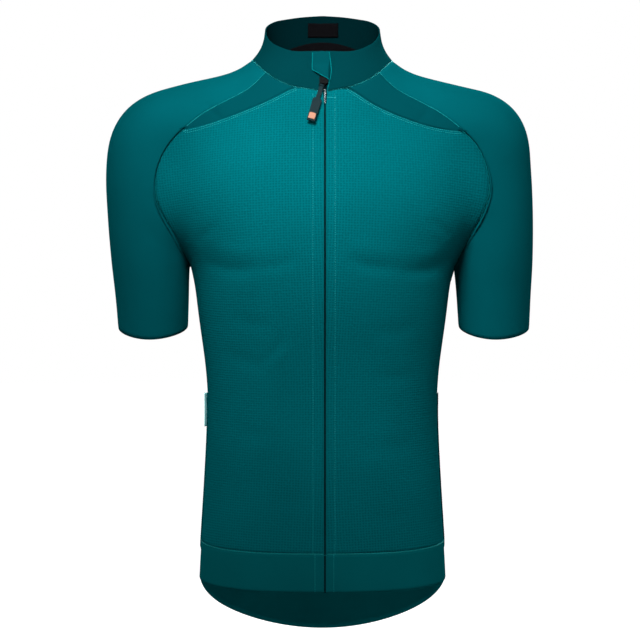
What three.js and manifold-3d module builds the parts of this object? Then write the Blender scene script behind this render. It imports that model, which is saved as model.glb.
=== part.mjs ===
// A short-sleeved cycling jersey with a full zip, worn shape with nobody in it.
// Millimetres. +Z is up, the front faces -Y, and +X is the wearer's left.
// The origin lies in the neck, level with the points where the shoulders meet it.
// Each cut piece is a cloth wall that follows one smooth worn form, so neighbours meet along true seams.
import * as THREE from "three";
import { mergeVertices } from "three/addons/utils/BufferGeometryUtils.js";
import Module from "manifold-3d";

const manifold = await Module();
manifold.setup();

// Cloth thicknesses and the small spaces between pieces
const clothWall = 1.6;
const collarWall = 2.0;
const seamGap = 0.5;
const layerGap = 0.35;

// Lengths and places that drive the cut
const hemHeight = -676;
const bandHeight = 48.5;
const tailDrop = 78;
const tailPoint = 1.2;
const tailShift = 0.05;
const sideRise = { height: 7, power: 5 };
const zipMiddle = 3;
const chestTop = -60;
const zipEdgeReach = 5;
const zipSlit = { half: 1.3, spread: 1.6, at: -47, over: 10 };
const zipTape = { half: 12, depth: 2.4, thickness: 1, top: -24 };
const zipChain = { half: 1, depth: 0.6, thickness: 1.5 };
const slider = { x: 1.4, z: -33.5, width: 11, length: 9.6, height: 2.8, stand: 0.5, corner: 1.6 };
const pull = {
  x: -1, z: -41.3, lean: 15.8, pinHeight: 2.3, pinRadius: 0.55, boreRadius: 0.85, loopRadius: 1.6, sides: 16,
  lugInner: 2.9, lugOuter: 3.8, lugRound: 0.85, lugReach: 4.4, foot: -1.4, thickness: 2, strapWidth: 5.2,
  strapLength: 18, shoulder: 2.5, blockWidth: 11.6, blockEnd: 51, taper: 0.88,
  tile: 8.4, tileHeight: 0.7, tileCorner: 0.8, tileAt: -44.6, tileGap: 0.1,
};
const garage = {
  left: -13.4, right: 9.4, top: 3.5, leftFoot: -16, rightFoot: -33.5, curve: 0.8, wall: 0.9, lift: 0.6,
  bulge: 3.5, bulgeTop: -10, bulgeFoot: -24, bulgeLeft: [-13.5, -6], bulgeRight: [7.2, 9.4],
};
const backNeck = { side: 76, depth: 56 };
const label = { left: -20, right: 21.5, foot: 39.5, top: 58, depth: 2.5, thickness: 0.6 };
const neckTape = { half: 47, foot: 13.5, top: 33, droop: 12, depth: 2.5, thickness: 0.7 };
const pocket = { from: 0.03, aboveHem: 42, sideTop: -428, middleTop: -478, gap: 0.9, wall: 1.2 };
const strip = { from: 0.045, to: 0.13, foot: -474, top: -430, gap: 2.6, wall: 0.5 };

// How many cells each stretch of a piece is divided into
const cells = {
  acrossCollarFront: 2,
  alongInset: 10,
  alongArmhole: 9,
  downSide: 14,
  downBand: 2,
  underArmhole: 4,
  downSleeve: 7,
  halfSleeve: 8,
  acrossBack: 24,
  upCollar: 4,
  acrossInset: 3,
};
const frontColumns = cells.acrossCollarFront + cells.alongInset;

// The worn form: for each height, how far the cloth lies from the middle to the side, the front and the back
const torsoForm = [
  { z: -800, side: 160, front: 108, back: 120 },
  { z: -740, side: 160.5, front: 108, back: 119 },
  { z: -676, side: 160, front: 106, back: 116 },
  { z: -625, side: 157.5, front: 105, back: 112 },
  { z: -562, side: 153.5, front: 103, back: 106 },
  { z: -499, side: 150, front: 101, back: 100 },
  { z: -450, side: 148.5, front: 101, back: 97 },
  { z: -406, side: 150.5, front: 104, back: 97 },
  { z: -374, side: 154.5, front: 109, back: 99 },
  { z: -343, side: 159, front: 116, back: 103 },
  { z: -312, side: 163, front: 122, back: 107 },
  { z: -281, side: 166.5, front: 126, back: 111 },
  { z: -264, side: 170, front: 127.5, back: 113 },
  { z: -246, side: 180, front: 128, back: 115 },
  { z: -216, side: 197, front: 127, back: 117 },
  { z: -180, side: 205, front: 123, back: 116 },
  { z: -140, side: 198, front: 115, back: 111 },
  { z: -100, side: 172, front: 103, back: 100 },
  { z: -60, side: 120, front: 88, back: 82 },
  { z: -20, side: 70, front: 62, back: 58 },
  { z: 20, side: 20, front: 20, back: 20 },
];
const torsoSquareness = 2.3;

const neckForm = [
  { z: -120, side: 74, front: 72, back: 64 },
  { z: -60, side: 82, front: 81, back: 67 },
  { z: -20, side: 83, front: 75, back: 63 },
  { z: 0, side: 80.5, front: 71.5, back: 60 },
  { z: 12, side: 78, front: 69, back: 58 },
  { z: 26, side: 76, front: 67, back: 56.5 },
  { z: 45, side: 75, front: 66, back: 55 },
  { z: 90, side: 75, front: 64, back: 52 },
];
const neckSquareness = 2.1;

// The shoulder and upper arm inside the sleeve, one row for each bend, the first inside the neck
const armForm = {
  left: [
    { x: 55, y: 0, z: -59, radius: 58 },
    { x: 120, y: 1, z: -77, radius: 58 },
    { x: 172, y: 2, z: -90, radius: 58.5 },
    { x: 207, y: 3, z: -101, radius: 59 },
    { x: 215, y: 4, z: -140, radius: 56.5 },
    { x: 220, y: 6, z: -200, radius: 54.5 },
    { x: 222.5, y: 11, z: -260, radius: 52 },
    { x: 223.5, y: 15, z: -300, radius: 49 },
    { x: 224.5, y: 20, z: -350, radius: 46.5 },
    { x: 225, y: 24, z: -400, radius: 44 },
  ],
  right: [
    { x: 55, y: 0, z: -57, radius: 58 },
    { x: 120, y: 1, z: -75, radius: 58 },
    { x: 172, y: 2, z: -88, radius: 59.5 },
    { x: 214, y: 3, z: -105, radius: 61 },
    { x: 222, y: 4, z: -140, radius: 60 },
    { x: 224, y: 6, z: -200, radius: 56 },
    { x: 224, y: 11, z: -260, radius: 51.5 },
    { x: 222.5, y: 15, z: -300, radius: 48.5 },
    { x: 221.5, y: 20, z: -350, radius: 46 },
    { x: 221, y: 24, z: -400, radius: 44 },
  ],
};
const armDepthShare = 1.14;

// How softly the parts of the form run into each other
const blends = { neck: 34, shoulder: 40, armpit: 7, armpitTop: -170, armpitFoot: -262 };

// Seam lines, as points that the seam passes through on the wearer's left, then smoothed and laid on the form
const collarSeamLine = [
  { x: 0, y: -86, z: -48.5 },
  { x: 34, y: -84, z: -43 },
  { x: 55, y: -77, z: -34 },
  { x: 72, y: -62, z: -21 },
  { x: 85, y: -34, z: -7 },
  { x: 90, y: 0, z: 0 },
  { x: 82, y: 34, z: 4 },
  { x: 60, y: 58, z: 7 },
  { x: 32, y: 68, z: 9 },
  { x: 0, y: 72, z: 10 },
];
const collarTopLine = [
  { x: 0, y: -69, z: 4.5 },
  { x: 38, y: -60, z: 5 },
  { x: 58, y: -44, z: 15 },
  { x: 69, y: -24, z: 27 },
  { x: 74.5, y: 6, z: 44.5 },
  { x: 64, y: 32, z: 57 },
  { x: 48, y: 45, z: 62 },
  { x: 26, y: 52, z: 66 },
  { x: 0, y: 54, z: 68 },
];
const raglanInsetLine = [
  { x: 72.5, y: -62, z: -22 },
  { x: 92, y: -66, z: -40 },
  { x: 122, y: -68, z: -54 },
  { x: 147.5, y: -68, z: -69 },
  { x: 168, y: -66, z: -86 },
  { x: 178.7, y: -64, z: -95.5 },
];
const armholeFrontLine = [
  { x: 178.7, y: -64, z: -95.5 },
  { x: 195, y: -64, z: -111 },
  { x: 205, y: -63, z: -129 },
  { x: 212, y: -62, z: -150 },
  { x: 213, y: -61, z: -168 },
  { x: 211, y: -59, z: -185 },
  { x: 202, y: -55, z: -205 },
  { x: 189, y: -44, z: -222 },
  { x: 176, y: -24, z: -247 },
  { x: 171.5, y: 2, z: -264 },
];
const raglanBackLine = [
  { x: 60, y: 58, z: 7 },
  { x: 88, y: 66, z: -14 },
  { x: 122, y: 74, z: -44 },
  { x: 152, y: 78, z: -78 },
  { x: 175, y: 78, z: -118 },
  { x: 189, y: 72, z: -160 },
  { x: 193, y: 60, z: -196 },
  { x: 186, y: 42, z: -226 },
  { x: 176, y: 20, z: -252 },
  { x: 171.5, y: 2, z: -264 },
];
const insetLowerLine = {
  left: [
    { x: 33, y: -86, z: -44 },
    { x: 65, y: -82, z: -66.5 },
    { x: 104, y: -77, z: -83.5 },
    { x: 143, y: -70, z: -93 },
    { x: 178.7, y: -64, z: -95.5 },
  ],
  right: [
    { x: 36, y: -86, z: -43.5 },
    { x: 71, y: -80, z: -62 },
    { x: 104, y: -76, z: -74.5 },
    { x: 140, y: -70, z: -86.5 },
    { x: 178.7, y: -64, z: -95.5 },
  ],
};
const shoulderRidgeLine = {
  left: [
    { x: 90, y: 0, z: 0 },
    { x: 120, y: 2, z: -14 },
    { x: 172, y: 4, z: -29 },
    { x: 224, y: 5, z: -46 },
    { x: 252, y: 5, z: -66 },
    { x: 266, y: 6, z: -96 },
    { x: 271, y: 7, z: -130 },
    { x: 274, y: 8, z: -176 },
  ],
  right: [
    { x: 90, y: 0, z: 0 },
    { x: 120, y: 2, z: -12 },
    { x: 172, y: 4, z: -27 },
    { x: 232, y: 5, z: -46 },
    { x: 262, y: 5, z: -66 },
    { x: 275, y: 6, z: -96 },
    { x: 280, y: 7, z: -130 },
    { x: 281, y: 8, z: -176 },
  ],
};
const cuffLine = { innerX: 176, outerX: 269, z: -344, front: -38, back: 76, frontDrop: 17, backRise: 14 };

// Reads one column of a form table at a height, on a smooth curve through its rows
function readForm(table, column, z) {
  const last = table.length - 1;
  if (z <= table[0].z) return table[0][column];
  if (z >= table[last].z) return table[last][column];
  let i = 0;
  while (table[i + 1].z < z) i++;
  const slopeAt = (k) => {
    const below = table[Math.max(0, k - 1)];
    const above = table[Math.min(last, k + 1)];
    return (above[column] - below[column]) / (above.z - below.z);
  };
  const span = table[i + 1].z - table[i].z;
  const t = (z - table[i].z) / span;
  const t2 = t * t;
  const t3 = t2 * t;
  return (
    (2 * t3 - 3 * t2 + 1) * table[i][column] +
    (t3 - 2 * t2 + t) * span * slopeAt(i) +
    (3 * t2 - 2 * t3) * table[i + 1][column] +
    (t3 - t2) * span * slopeAt(i + 1)
  );
}

// How far a point is outside a form of flattened rings
function ringDistance(table, squareness, p) {
  const side = readForm(table, "side", p.z);
  const depth = readForm(table, p.y < 0 ? "front" : "back", p.z);
  const share = Math.pow(
    Math.pow(Math.abs(p.x) / side, squareness) + Math.pow(Math.abs(p.y) / depth, squareness),
    1 / squareness,
  );
  const reach = Math.hypot(p.x, p.y);
  return share < 1e-6 ? -Math.min(side, depth) : reach * (1 - 1 / share);
}

// How far a point is outside one tapered stretch of the arm, which is deeper than it is broad
function limbDistance(a, b, x, y, z) {
  const along = [b.x - a.x, (b.y - a.y) / armDepthShare, b.z - a.z];
  const to = [x - a.x, (y - a.y) / armDepthShare, z - a.z];
  const lengthSquared = along[0] ** 2 + along[1] ** 2 + along[2] ** 2;
  const raw = (to[0] * along[0] + to[1] * along[1] + to[2] * along[2]) / lengthSquared;
  const t = Math.min(1, Math.max(0, raw));
  const away = Math.hypot(to[0] - t * along[0], to[1] - t * along[1], to[2] - t * along[2]);
  return away - (a.radius + t * (b.radius - a.radius));
}

function softMin(a, b, blend) {
  const h = Math.max(blend - Math.abs(a - b), 0) / blend;
  return Math.min(a, b) - (h * h * blend) / 4;
}

// Fills in a table of arm rows with more rows on a smooth curve through them
function smoothRows(rows, count) {
  const middles = rows.map((row) => new THREE.Vector3(row.x, row.y, row.z));
  const radii = rows.map((row) => new THREE.Vector3(row.radius, 0, 0));
  const line = new THREE.CatmullRomCurve3(middles, false, "centripetal");
  const sizes = new THREE.CatmullRomCurve3(radii, false, "catmullrom");
  const fine = [];
  for (let i = 0; i <= count; i++) {
    const p = line.getPoint(i / count);
    fine.push({ x: p.x, y: p.y, z: p.z, radius: sizes.getPoint(i / count).x });
  }
  return fine;
}
const armRows = { left: smoothRows(armForm.left, 36), right: smoothRows(armForm.right, 36), reach: 60 };

function armDistance(p) {
  let nearest = Infinity;
  for (const side of ["left", "right"]) {
    const rows = armRows[side];
    const x = side === "left" ? p.x : -p.x;
    if (x < -armRows.reach) continue;
    for (let i = 0; i + 1 < rows.length; i++) {
      nearest = Math.min(nearest, limbDistance(rows[i], rows[i + 1], x, p.y, p.z));
    }
  }
  return nearest;
}

// The whole worn form: negative inside the cloth, zero on its outer face
function wornForm(p) {
  const torso = ringDistance(torsoForm, torsoSquareness, p);
  const neck = ringDistance(neckForm, neckSquareness, p);
  const trunk = softMin(torso, neck, blends.neck);
  const rise = (p.z - blends.armpitFoot) / (blends.armpitTop - blends.armpitFoot);
  const eased = THREE.MathUtils.smoothstep(rise, 0, 1);
  const blend = blends.armpit + eased * (blends.shoulder - blends.armpit);
  return softMin(trunk, armDistance(p), blend);
}

// The form's slope at a point, which faces out of the cloth
const step = 0.02;
function outward(p) {
  const q = p.clone();
  const difference = (axis) => {
    q.copy(p);
    q[axis] += step;
    const ahead = wornForm(q);
    q[axis] -= 2 * step;
    return (ahead - wornForm(q)) / (2 * step);
  };
  return new THREE.Vector3(difference("x"), difference("y"), difference("z"));
}

// Lays a point on the form, moving it along the form's own slope
function layOn(p, rounds = 14) {
  const q = p.clone();
  for (let i = 0; i < rounds; i++) {
    const d = wornForm(q);
    if (Math.abs(d) < 1e-4) break;
    const slope = outward(q);
    q.addScaledVector(slope, -d / Math.max(slope.lengthSq(), 0.05));
  }
  return q;
}

const vector = (row) => new THREE.Vector3(row.x, row.y, row.z);
const mirrored = (p) => new THREE.Vector3(-p.x, p.y, p.z);

// Points evenly spaced along a smooth line through a table's rows, laid on the form
function seamPoints(rows, count, side) {
  const turn = side === "left" ? (p) => p : mirrored;
  const line = new THREE.CatmullRomCurve3(rows.map(vector).map(turn), false, "centripetal");
  return line.getSpacedPoints(count).map((p) => layOn(p));
}

// A grid filled in from its four edges; rows run from bottom to top and columns from left to right
function fillGrid(bottom, top, left, right) {
  const rows = left.length - 1;
  const columns = bottom.length - 1;
  const grid = [];
  for (let i = 0; i <= rows; i++) {
    const v = i / rows;
    grid.push([]);
    for (let j = 0; j <= columns; j++) {
      const u = j / columns;
      const p = new THREE.Vector3()
        .addScaledVector(left[i], 1 - u)
        .addScaledVector(right[i], u)
        .addScaledVector(bottom[j], 1 - v)
        .addScaledVector(top[j], v)
        .addScaledVector(bottom[0], -(1 - u) * (1 - v))
        .addScaledVector(bottom[columns], -u * (1 - v))
        .addScaledVector(top[0], -(1 - u) * v)
        .addScaledVector(top[columns], -u * v);
      const onEdge = i === 0 || j === 0 || i === rows || j === columns;
      grid[i].push(onEdge ? p : layOn(p));
    }
  }
  return grid;
}

// The four-cornered cells of a grid
function cellsOf(grid) {
  const quads = [];
  for (let i = 0; i + 1 < grid.length; i++) {
    for (let j = 0; j + 1 < grid[i].length; j++) {
      quads.push([grid[i][j], grid[i][j + 1], grid[i + 1][j + 1], grid[i + 1][j]]);
    }
  }
  return quads;
}

// Joins cells that share corners into one sheet, with its faces turned to point out of the form
const samePoint = 0.02;
function joinSheet(quads) {
  const found = new Map();
  const points = [];
  const indexOf = (p) => {
    const key = [p.x, p.y, p.z].map((value) => Math.round(value / samePoint)).join();
    if (!found.has(key)) {
      found.set(key, points.length);
      points.push(p.clone());
    }
    return found.get(key);
  };
  let faces = quads.map((quad) => quad.map(indexOf));
  let facing = 0;
  for (const [a, b, , d] of faces) {
    const across = points[b].clone().sub(points[a]);
    const up = points[d].clone().sub(points[a]);
    facing += Math.sign(across.cross(up).dot(outward(points[a])));
  }
  if (facing < 0) faces = faces.map((face) => [...face].reverse());
  return { points, faces };
}

// The sides of a sheet's cells that no second cell shares, each running with the cloth on its left
function rimOf(sheet) {
  const sides = new Map();
  for (const face of sheet.faces) {
    face.forEach((a, k) => {
      const b = face[(k + 1) % 4];
      if (sides.has(`${b},${a}`)) sides.delete(`${b},${a}`);
      else sides.set(`${a},${b}`, [a, b]);
    });
  }
  return [...sides.values()];
}

// Evens out the points inside a sheet's rim, keeping them on the form
function evenOut(sheet, rounds) {
  const fixed = new Set(rimOf(sheet).flat());
  const near = sheet.points.map(() => new Set());
  for (const face of sheet.faces) {
    face.forEach((a, k) => {
      near[a].add(face[(k + 1) % 4]);
      near[a].add(face[(k + 3) % 4]);
    });
  }
  for (let round = 0; round < rounds; round++) {
    sheet.points = sheet.points.map((p, i) => {
      if (fixed.has(i)) return p;
      const mean = new THREE.Vector3();
      for (const k of near[i]) mean.addScaledVector(sheet.points[k], 1 / near[i].size);
      return layOn(mean, 3);
    });
  }
  return sheet;
}

// Draws a sheet's seams in by half the seam gap, square to each seam; a free edge stays where it is
function drawIn(sheet, isFree) {
  const pulls = sheet.points.map(() => []);
  for (const [a, b] of rimOf(sheet)) {
    if (isFree(sheet.points[a]) && isFree(sheet.points[b])) continue;
    const along = sheet.points[b].clone().sub(sheet.points[a]);
    const middle = sheet.points[a].clone().lerp(sheet.points[b], 0.5);
    const inward = outward(middle).cross(along).normalize();
    pulls[a].push(inward);
    pulls[b].push(inward);
  }
  const points = sheet.points.map((p, i) => {
    if (!pulls[i].length) return p.clone();
    const [one, other] = [pulls[i][0], pulls[i].at(-1)];
    const reach = seamGap / 2 / Math.max(0.5, 1 + one.dot(other));
    return p.clone().addScaledVector(one, reach).addScaledVector(other, reach);
  });
  return { points, faces: sheet.faces };
}

// Builds a closed cloth wall on a sheet: its outer face stands off the form, its inner face a wall below
function wallOn(sheet, wall, liftAt = () => 0) {
  const positions = [];
  const raised = (more) => (p) => p.clone().addScaledVector(outward(p).normalize(), liftAt(p) + more);
  const outer = sheet.points.map(raised(0));
  const inner = sheet.points.map(raised(-wall));
  const add = (...corners) => {
    for (const p of corners) positions.push(p.x, p.y, p.z);
  };
  for (const [a, b, c, d] of sheet.faces) {
    add(outer[a], outer[b], outer[c], outer[a], outer[c], outer[d]);
    add(inner[a], inner[c], inner[b], inner[a], inner[d], inner[c]);
  }
  for (const [a, b] of rimOf(sheet)) {
    add(outer[b], outer[a], inner[a], outer[b], inner[a], inner[b]);
  }
  const geometry = new THREE.BufferGeometry();
  geometry.setAttribute("position", new THREE.Float32BufferAttribute(positions, 3));
  const merged = mergeVertices(geometry, 1e-4);
  merged.computeVertexNormals();
  return merged;
}

const jersey = new THREE.Group();

const cloths = {
  front: new THREE.MeshStandardMaterial({ color: 0x006468, roughness: 0.85, metalness: 0 }),
  plain: new THREE.MeshStandardMaterial({ color: 0x005b60, roughness: 0.8, metalness: 0 }),
  inset: new THREE.MeshStandardMaterial({ color: 0x004b50, roughness: 0.85, metalness: 0 }),
  tape: new THREE.MeshStandardMaterial({ color: 0x0a0c0d, roughness: 0.7, metalness: 0 }),
  slider: new THREE.MeshStandardMaterial({ color: 0x101314, roughness: 0.4, metalness: 0.3 }),
  pull: new THREE.MeshStandardMaterial({ color: 0x0d2426, roughness: 0.6, metalness: 0 }),
  tile: new THREE.MeshStandardMaterial({ color: 0xf0a880, roughness: 0.5, metalness: 0 }),
  reflective: new THREE.MeshStandardMaterial({ color: 0xa8fff4, roughness: 0.35, metalness: 0.1 }),
};

function addPiece(name, geometry, material) {
  const piece = new THREE.Mesh(geometry, material);
  piece.name = name;
  jersey.add(piece);
  return piece;
}

// How much the hem and the band's seam rise toward the wearer's sides
const sideLift = (angle) => sideRise.height * Math.pow(Math.abs(Math.cos(angle)), sideRise.power);

// The height of the hem at a ring angle: 0 at the wearer's side, a quarter turn at the middle of the back
function tailHeight(angle) {
  const across = Math.max(0, Math.sin(angle));
  return hemHeight + sideLift(angle) - tailDrop * Math.pow(across, tailPoint + tailShift * Math.cos(angle));
}

// A row of points round the body at a height, from one ring angle to another; angle -90 is the front
function ringRow(heightAt, from, to, count) {
  const row = [];
  for (let j = 0; j <= count; j++) {
    const angle = from + ((to - from) * j) / count;
    const z = heightAt(angle);
    const side = readForm(torsoForm, "side", z);
    const depth = readForm(torsoForm, angle < 0 ? "front" : "back", z);
    row.push(layOn(new THREE.Vector3(side * Math.cos(angle), depth * Math.sin(angle), z)));
  }
  return row;
}

const quarter = Math.PI / 2;
const mix = THREE.MathUtils.lerp;
const bandSeam = hemHeight + bandHeight;

// The zip's folded edges lie close together, and spread round the slider's foot
const slitHalf = (z) => zipSlit.half + zipSlit.spread * Math.exp(-(((z - zipSlit.at) / zipSlit.over) ** 2));

// How far the torso's front lies from the middle, held at the neck's depth above the chest
const frontDepth = (z) => readForm(torsoForm, "front", Math.min(z, chestTop));

// Where each piece's edge lies along the zip: a line on the form beside the middle of the front
function zipEdge(fromZ, toZ, count, sign) {
  const points = [];
  for (let i = 0; i <= count; i++) {
    const z = fromZ + ((toZ - fromZ) * i) / count;
    const x = zipMiddle + sign * slitHalf(z);
    points.push(layOn(new THREE.Vector3(x, -frontDepth(z), z)));
    points[i].x = x;
  }
  return points;
}

// The seams of one side of the jersey, each shared by the two pieces that it joins
function seamsOf(side) {
  const turn = side === "left" ? (p) => p : mirrored;
  const sign = side === "left" ? 1 : -1;
  const collarAll = seamPoints(collarSeamLine, 120, side);
  const nearest = (p) => {
    let best = 0;
    collarAll.forEach((q, i) => {
      if (q.distanceTo(p) < collarAll[best].distanceTo(p)) best = i;
    });
    return best;
  };
  const stretch = (from, to, count) => {
    const points = [];
    for (let i = 0; i <= count; i++) {
      const at = from + ((to - from) * i) / count;
      const low = Math.min(Math.floor(at), collarAll.length - 2);
      points.push(layOn(collarAll[low].clone().lerp(collarAll[low + 1], at - low)));
    }
    return points;
  };
  const insetStart = nearest(turn(vector(insetLowerLine[side][0])));
  const raglanStart = nearest(turn(vector(raglanInsetLine[0])));
  const ridgeStart = nearest(turn(vector(shoulderRidgeLine[side][0])));
  const raglanEnd = nearest(turn(vector(raglanBackLine[0])));
  const collarFront = stretch(0, insetStart, cells.acrossCollarFront);
  collarFront[0] = zipEdge(collarSeamLine[0].z, collarSeamLine[0].z, 1, sign)[0];
  const collarInset = stretch(insetStart, raglanStart, cells.acrossInset);
  const collarSleeveFront = stretch(raglanStart, ridgeStart, cells.halfSleeve);
  const collarSleeveBack = stretch(ridgeStart, raglanEnd, cells.halfSleeve);
  const collarBack = stretch(raglanEnd, 120, cells.acrossBack / 2);
  const insetUpper = seamPoints(raglanInsetLine, cells.alongInset, side);
  insetUpper[0] = collarInset[cells.acrossInset].clone();
  const insetLower = seamPoints(insetLowerLine[side], cells.alongInset, side);
  insetLower[0] = collarInset[0].clone();
  insetLower[cells.alongInset] = insetUpper[cells.alongInset].clone();
  const armholeFront = seamPoints(armholeFrontLine, cells.alongArmhole, side);
  armholeFront[0] = insetUpper[cells.alongInset].clone();
  const raglanBack = seamPoints(raglanBackLine, cells.alongInset + cells.alongArmhole, side);
  raglanBack[0] = collarBack[0].clone();
  const underarm = armholeFront[cells.alongArmhole];
  raglanBack[raglanBack.length - 1] = underarm.clone();
  const sideSeam = [];
  for (let i = 0; i <= cells.downSide; i++) {
    const z = mix(bandSeam + sideRise.height, underarm.z, i / cells.downSide);
    sideSeam.push(layOn(new THREE.Vector3(sign * readForm(torsoForm, "side", z), 0, z)));
  }
  sideSeam[cells.downSide] = underarm.clone();
  return {
    collarFront, collarInset, collarSleeveFront, collarSleeveBack, collarBack,
    insetUpper, insetLower, armholeFront, raglanBack, sideSeam, underarm,
  };
}
const seams = { left: seamsOf("left"), right: seamsOf("right") };

// A row of points across one half of the front, from its middle to the side seam
function frontRow(side, z) {
  const row = ringRow((angle) => z + sideLift(angle), -quarter, 0, frontColumns);
  return side === "left" ? row : row.map(mirrored);
}

// Front panels: from the zip to the side seam and armhole, from the band up to the collar and inset
function frontPanel(side) {
  const sign = side === "left" ? 1 : -1;
  const s = seams[side];
  const right = [...s.sideSeam, ...[...s.armholeFront].reverse().slice(1)];
  const top = [...s.collarFront, ...s.insetLower.slice(1)];
  const rows = right.length - 1;
  const left = zipEdge(bandSeam, s.collarFront[0].z, rows, sign);
  left[rows] = s.collarFront[0].clone();
  const bottom = frontRow(side, bandSeam);
  bottom[0] = left[0].clone();
  bottom[frontColumns] = right[0].clone();
  return { bottom, sheet: evenOut(joinSheet(cellsOf(fillGrid(bottom, top, left, right))), 16) };
}
const besideZip = (p) => Math.abs(p.x - zipMiddle) < zipEdgeReach;
const frontPanels = { left: frontPanel("left"), right: frontPanel("right") };
for (const side of ["left", "right"]) {
  const geometry = wallOn(drawIn(frontPanels[side].sheet, besideZip), clothWall);
  addPiece(`front_${side}`, geometry, cloths.front);
}

// Hem bands of the front: a firm elastic strip from the zip to each side seam
for (const side of ["left", "right"]) {
  const sign = side === "left" ? 1 : -1;
  const grid = [];
  for (let i = 0; i < cells.downBand; i++) {
    const z = hemHeight + (bandHeight * i) / cells.downBand;
    const row = frontRow(side, z);
    row[0] = zipEdge(z, z, 1, sign)[0];
    grid.push(row);
  }
  grid.push(frontPanels[side].bottom);
  const isFree = (p) => besideZip(p) || p.z < hemHeight + sideRise.height + 1;
  const geometry = wallOn(drawIn(joinSheet(cellsOf(grid)), isFree), clothWall);
  addPiece(`hem_band_${side}`, geometry, cloths.plain);
}

// Shoulder insets: long pointed pieces between the front panel and the sleeve
const insetShortfall = 0.965;
for (const side of ["left", "right"]) {
  const s = seams[side];
  const grid = [];
  for (let i = 0; i <= cells.acrossInset; i++) {
    const v = i / cells.acrossInset;
    grid.push([]);
    for (let j = 0; j <= cells.alongInset; j++) {
      const lower = s.insetLower[j].clone();
      const upper = s.insetUpper[j].clone();
      if (j === cells.alongInset) {
        lower.lerp(s.insetLower[j - 1], (1 - insetShortfall) * cells.alongInset);
        upper.lerp(s.insetUpper[j - 1], (1 - insetShortfall) * cells.alongInset);
      }
      grid[i].push(j === 0 ? s.collarInset[i].clone() : layOn(lower.lerp(upper, v)));
    }
  }
  const geometry = wallOn(drawIn(joinSheet(cellsOf(grid)), () => false), clothWall);
  addPiece(`shoulder_inset_${side}`, geometry, cloths.inset);
}

// Sleeves: each runs from the collar over the shoulder to the cuff, and closes into a tube below the armpit
function cuffRing(side, count) {
  const sign = side === "left" ? 1 : -1;
  const middle = (cuffLine.innerX + cuffLine.outerX) / 2;
  const half = (cuffLine.outerX - cuffLine.innerX) / 2;
  const depth = (cuffLine.back - cuffLine.front) / 2;
  const centreY = (cuffLine.back + cuffLine.front) / 2;
  const ring = [];
  for (let j = 0; j <= count; j++) {
    const angle = (2 * Math.PI * j) / count;
    const forward = Math.sin(angle);
    const drop = forward > 0 ? cuffLine.frontDrop : cuffLine.backRise;
    const p = new THREE.Vector3(
      sign * (middle - half * Math.cos(angle)),
      centreY - depth * forward,
      cuffLine.z - drop * forward,
    );
    const laid = layOn(p);
    laid.z = p.z;
    ring.push(layOn(laid));
  }
  return ring;
}

function sleeve(side) {
  const s = seams[side];
  const rows = cells.alongInset + cells.alongArmhole - cells.underArmhole;
  const frontEdge = [...s.insetUpper, ...s.armholeFront.slice(1)];
  const ridge = seamPoints(shoulderRidgeLine[side], rows, side);
  ridge[0] = s.collarSleeveFront[cells.halfSleeve].clone();
  const overArm = (from, to) => {
    const points = [from.clone()];
    const arm = armForm[side][4];
    const middle = new THREE.Vector3(side === "left" ? arm.x : -arm.x, arm.y, arm.z);
    for (let j = 1; j < cells.halfSleeve; j++) {
      const p = from.clone().lerp(to, j / cells.halfSleeve);
      const spoke = p.clone().sub(middle);
      const reach = mix(from.distanceTo(middle), to.distanceTo(middle), j / cells.halfSleeve);
      points.push(layOn(middle.clone().addScaledVector(spoke.normalize(), reach)));
    }
    return [...points, to.clone()];
  };
  const overFront = overArm(frontEdge[rows], ridge[rows]);
  const overBack = overArm(ridge[rows], s.raglanBack[rows]);
  const capFront = fillGrid(s.collarSleeveFront, overFront, frontEdge.slice(0, rows + 1), ridge);
  const capBack = fillGrid(s.collarSleeveBack, overBack, ridge, s.raglanBack.slice(0, rows + 1));
  const ring = [
    ...frontEdge.slice(rows).reverse(),
    ...overFront.slice(1),
    ...overBack.slice(1),
    ...s.raglanBack.slice(rows + 1),
  ];
  const cuff = cuffRing(side, ring.length - 1);
  cuff[ring.length - 1] = cuff[0].clone();
  const tube = [ring];
  for (let i = 1; i <= cells.downSleeve; i++) {
    tube.push(ring.map((p, j) => layOn(p.clone().lerp(cuff[j], i / cells.downSleeve))));
  }
  return evenOut(joinSheet([...cellsOf(capFront), ...cellsOf(capBack), ...cellsOf(tube)]), 20);
}
const atCuff = (p) => p.z < cuffLine.z + cuffLine.backRise + 2 && Math.abs(p.x) > cuffLine.innerX - 12;
for (const side of ["left", "right"]) {
  addPiece(`sleeve_${side}`, wallOn(drawIn(sleeve(side), atCuff), clothWall), cloths.plain);
}

// Back panel: one piece from side seam to side seam, cut long at the tail
function backPanel() {
  const upLeft = [...seams.left.sideSeam, ...[...seams.left.raglanBack].reverse().slice(1)];
  const upRight = [...seams.right.sideSeam, ...[...seams.right.raglanBack].reverse().slice(1)];
  const sideFoot = ringRow(() => hemHeight + sideRise.height, 0, 0, 1)[0];
  const half = cells.acrossBack / 2;
  const lowerSteps = cells.downBand;
  const footRows = (foot, first) => {
    const points = [];
    for (let i = 0; i < lowerSteps; i++) points.push(layOn(foot.clone().lerp(first, i / lowerSteps)));
    return points;
  };
  const left = [...footRows(sideFoot, upLeft[0]), ...upLeft];
  const right = [...footRows(mirrored(sideFoot), upRight[0]), ...upRight];
  const bottom = ringRow(tailHeight, 0, 2 * quarter, 2 * half);
  bottom[0] = left[0].clone();
  bottom[2 * half] = right[0].clone();
  const top = [...seams.left.collarBack, ...[...seams.right.collarBack].reverse().slice(1)];
  return evenOut(joinSheet(cellsOf(fillGrid(bottom, top, left, right))), 16);
}
const backSheet = backPanel();
const atTail = (p) => p.z < hemHeight + sideRise.height + 1;
addPiece("back", wallOn(drawIn(backSheet, atTail), clothWall), cloths.plain);

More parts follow.
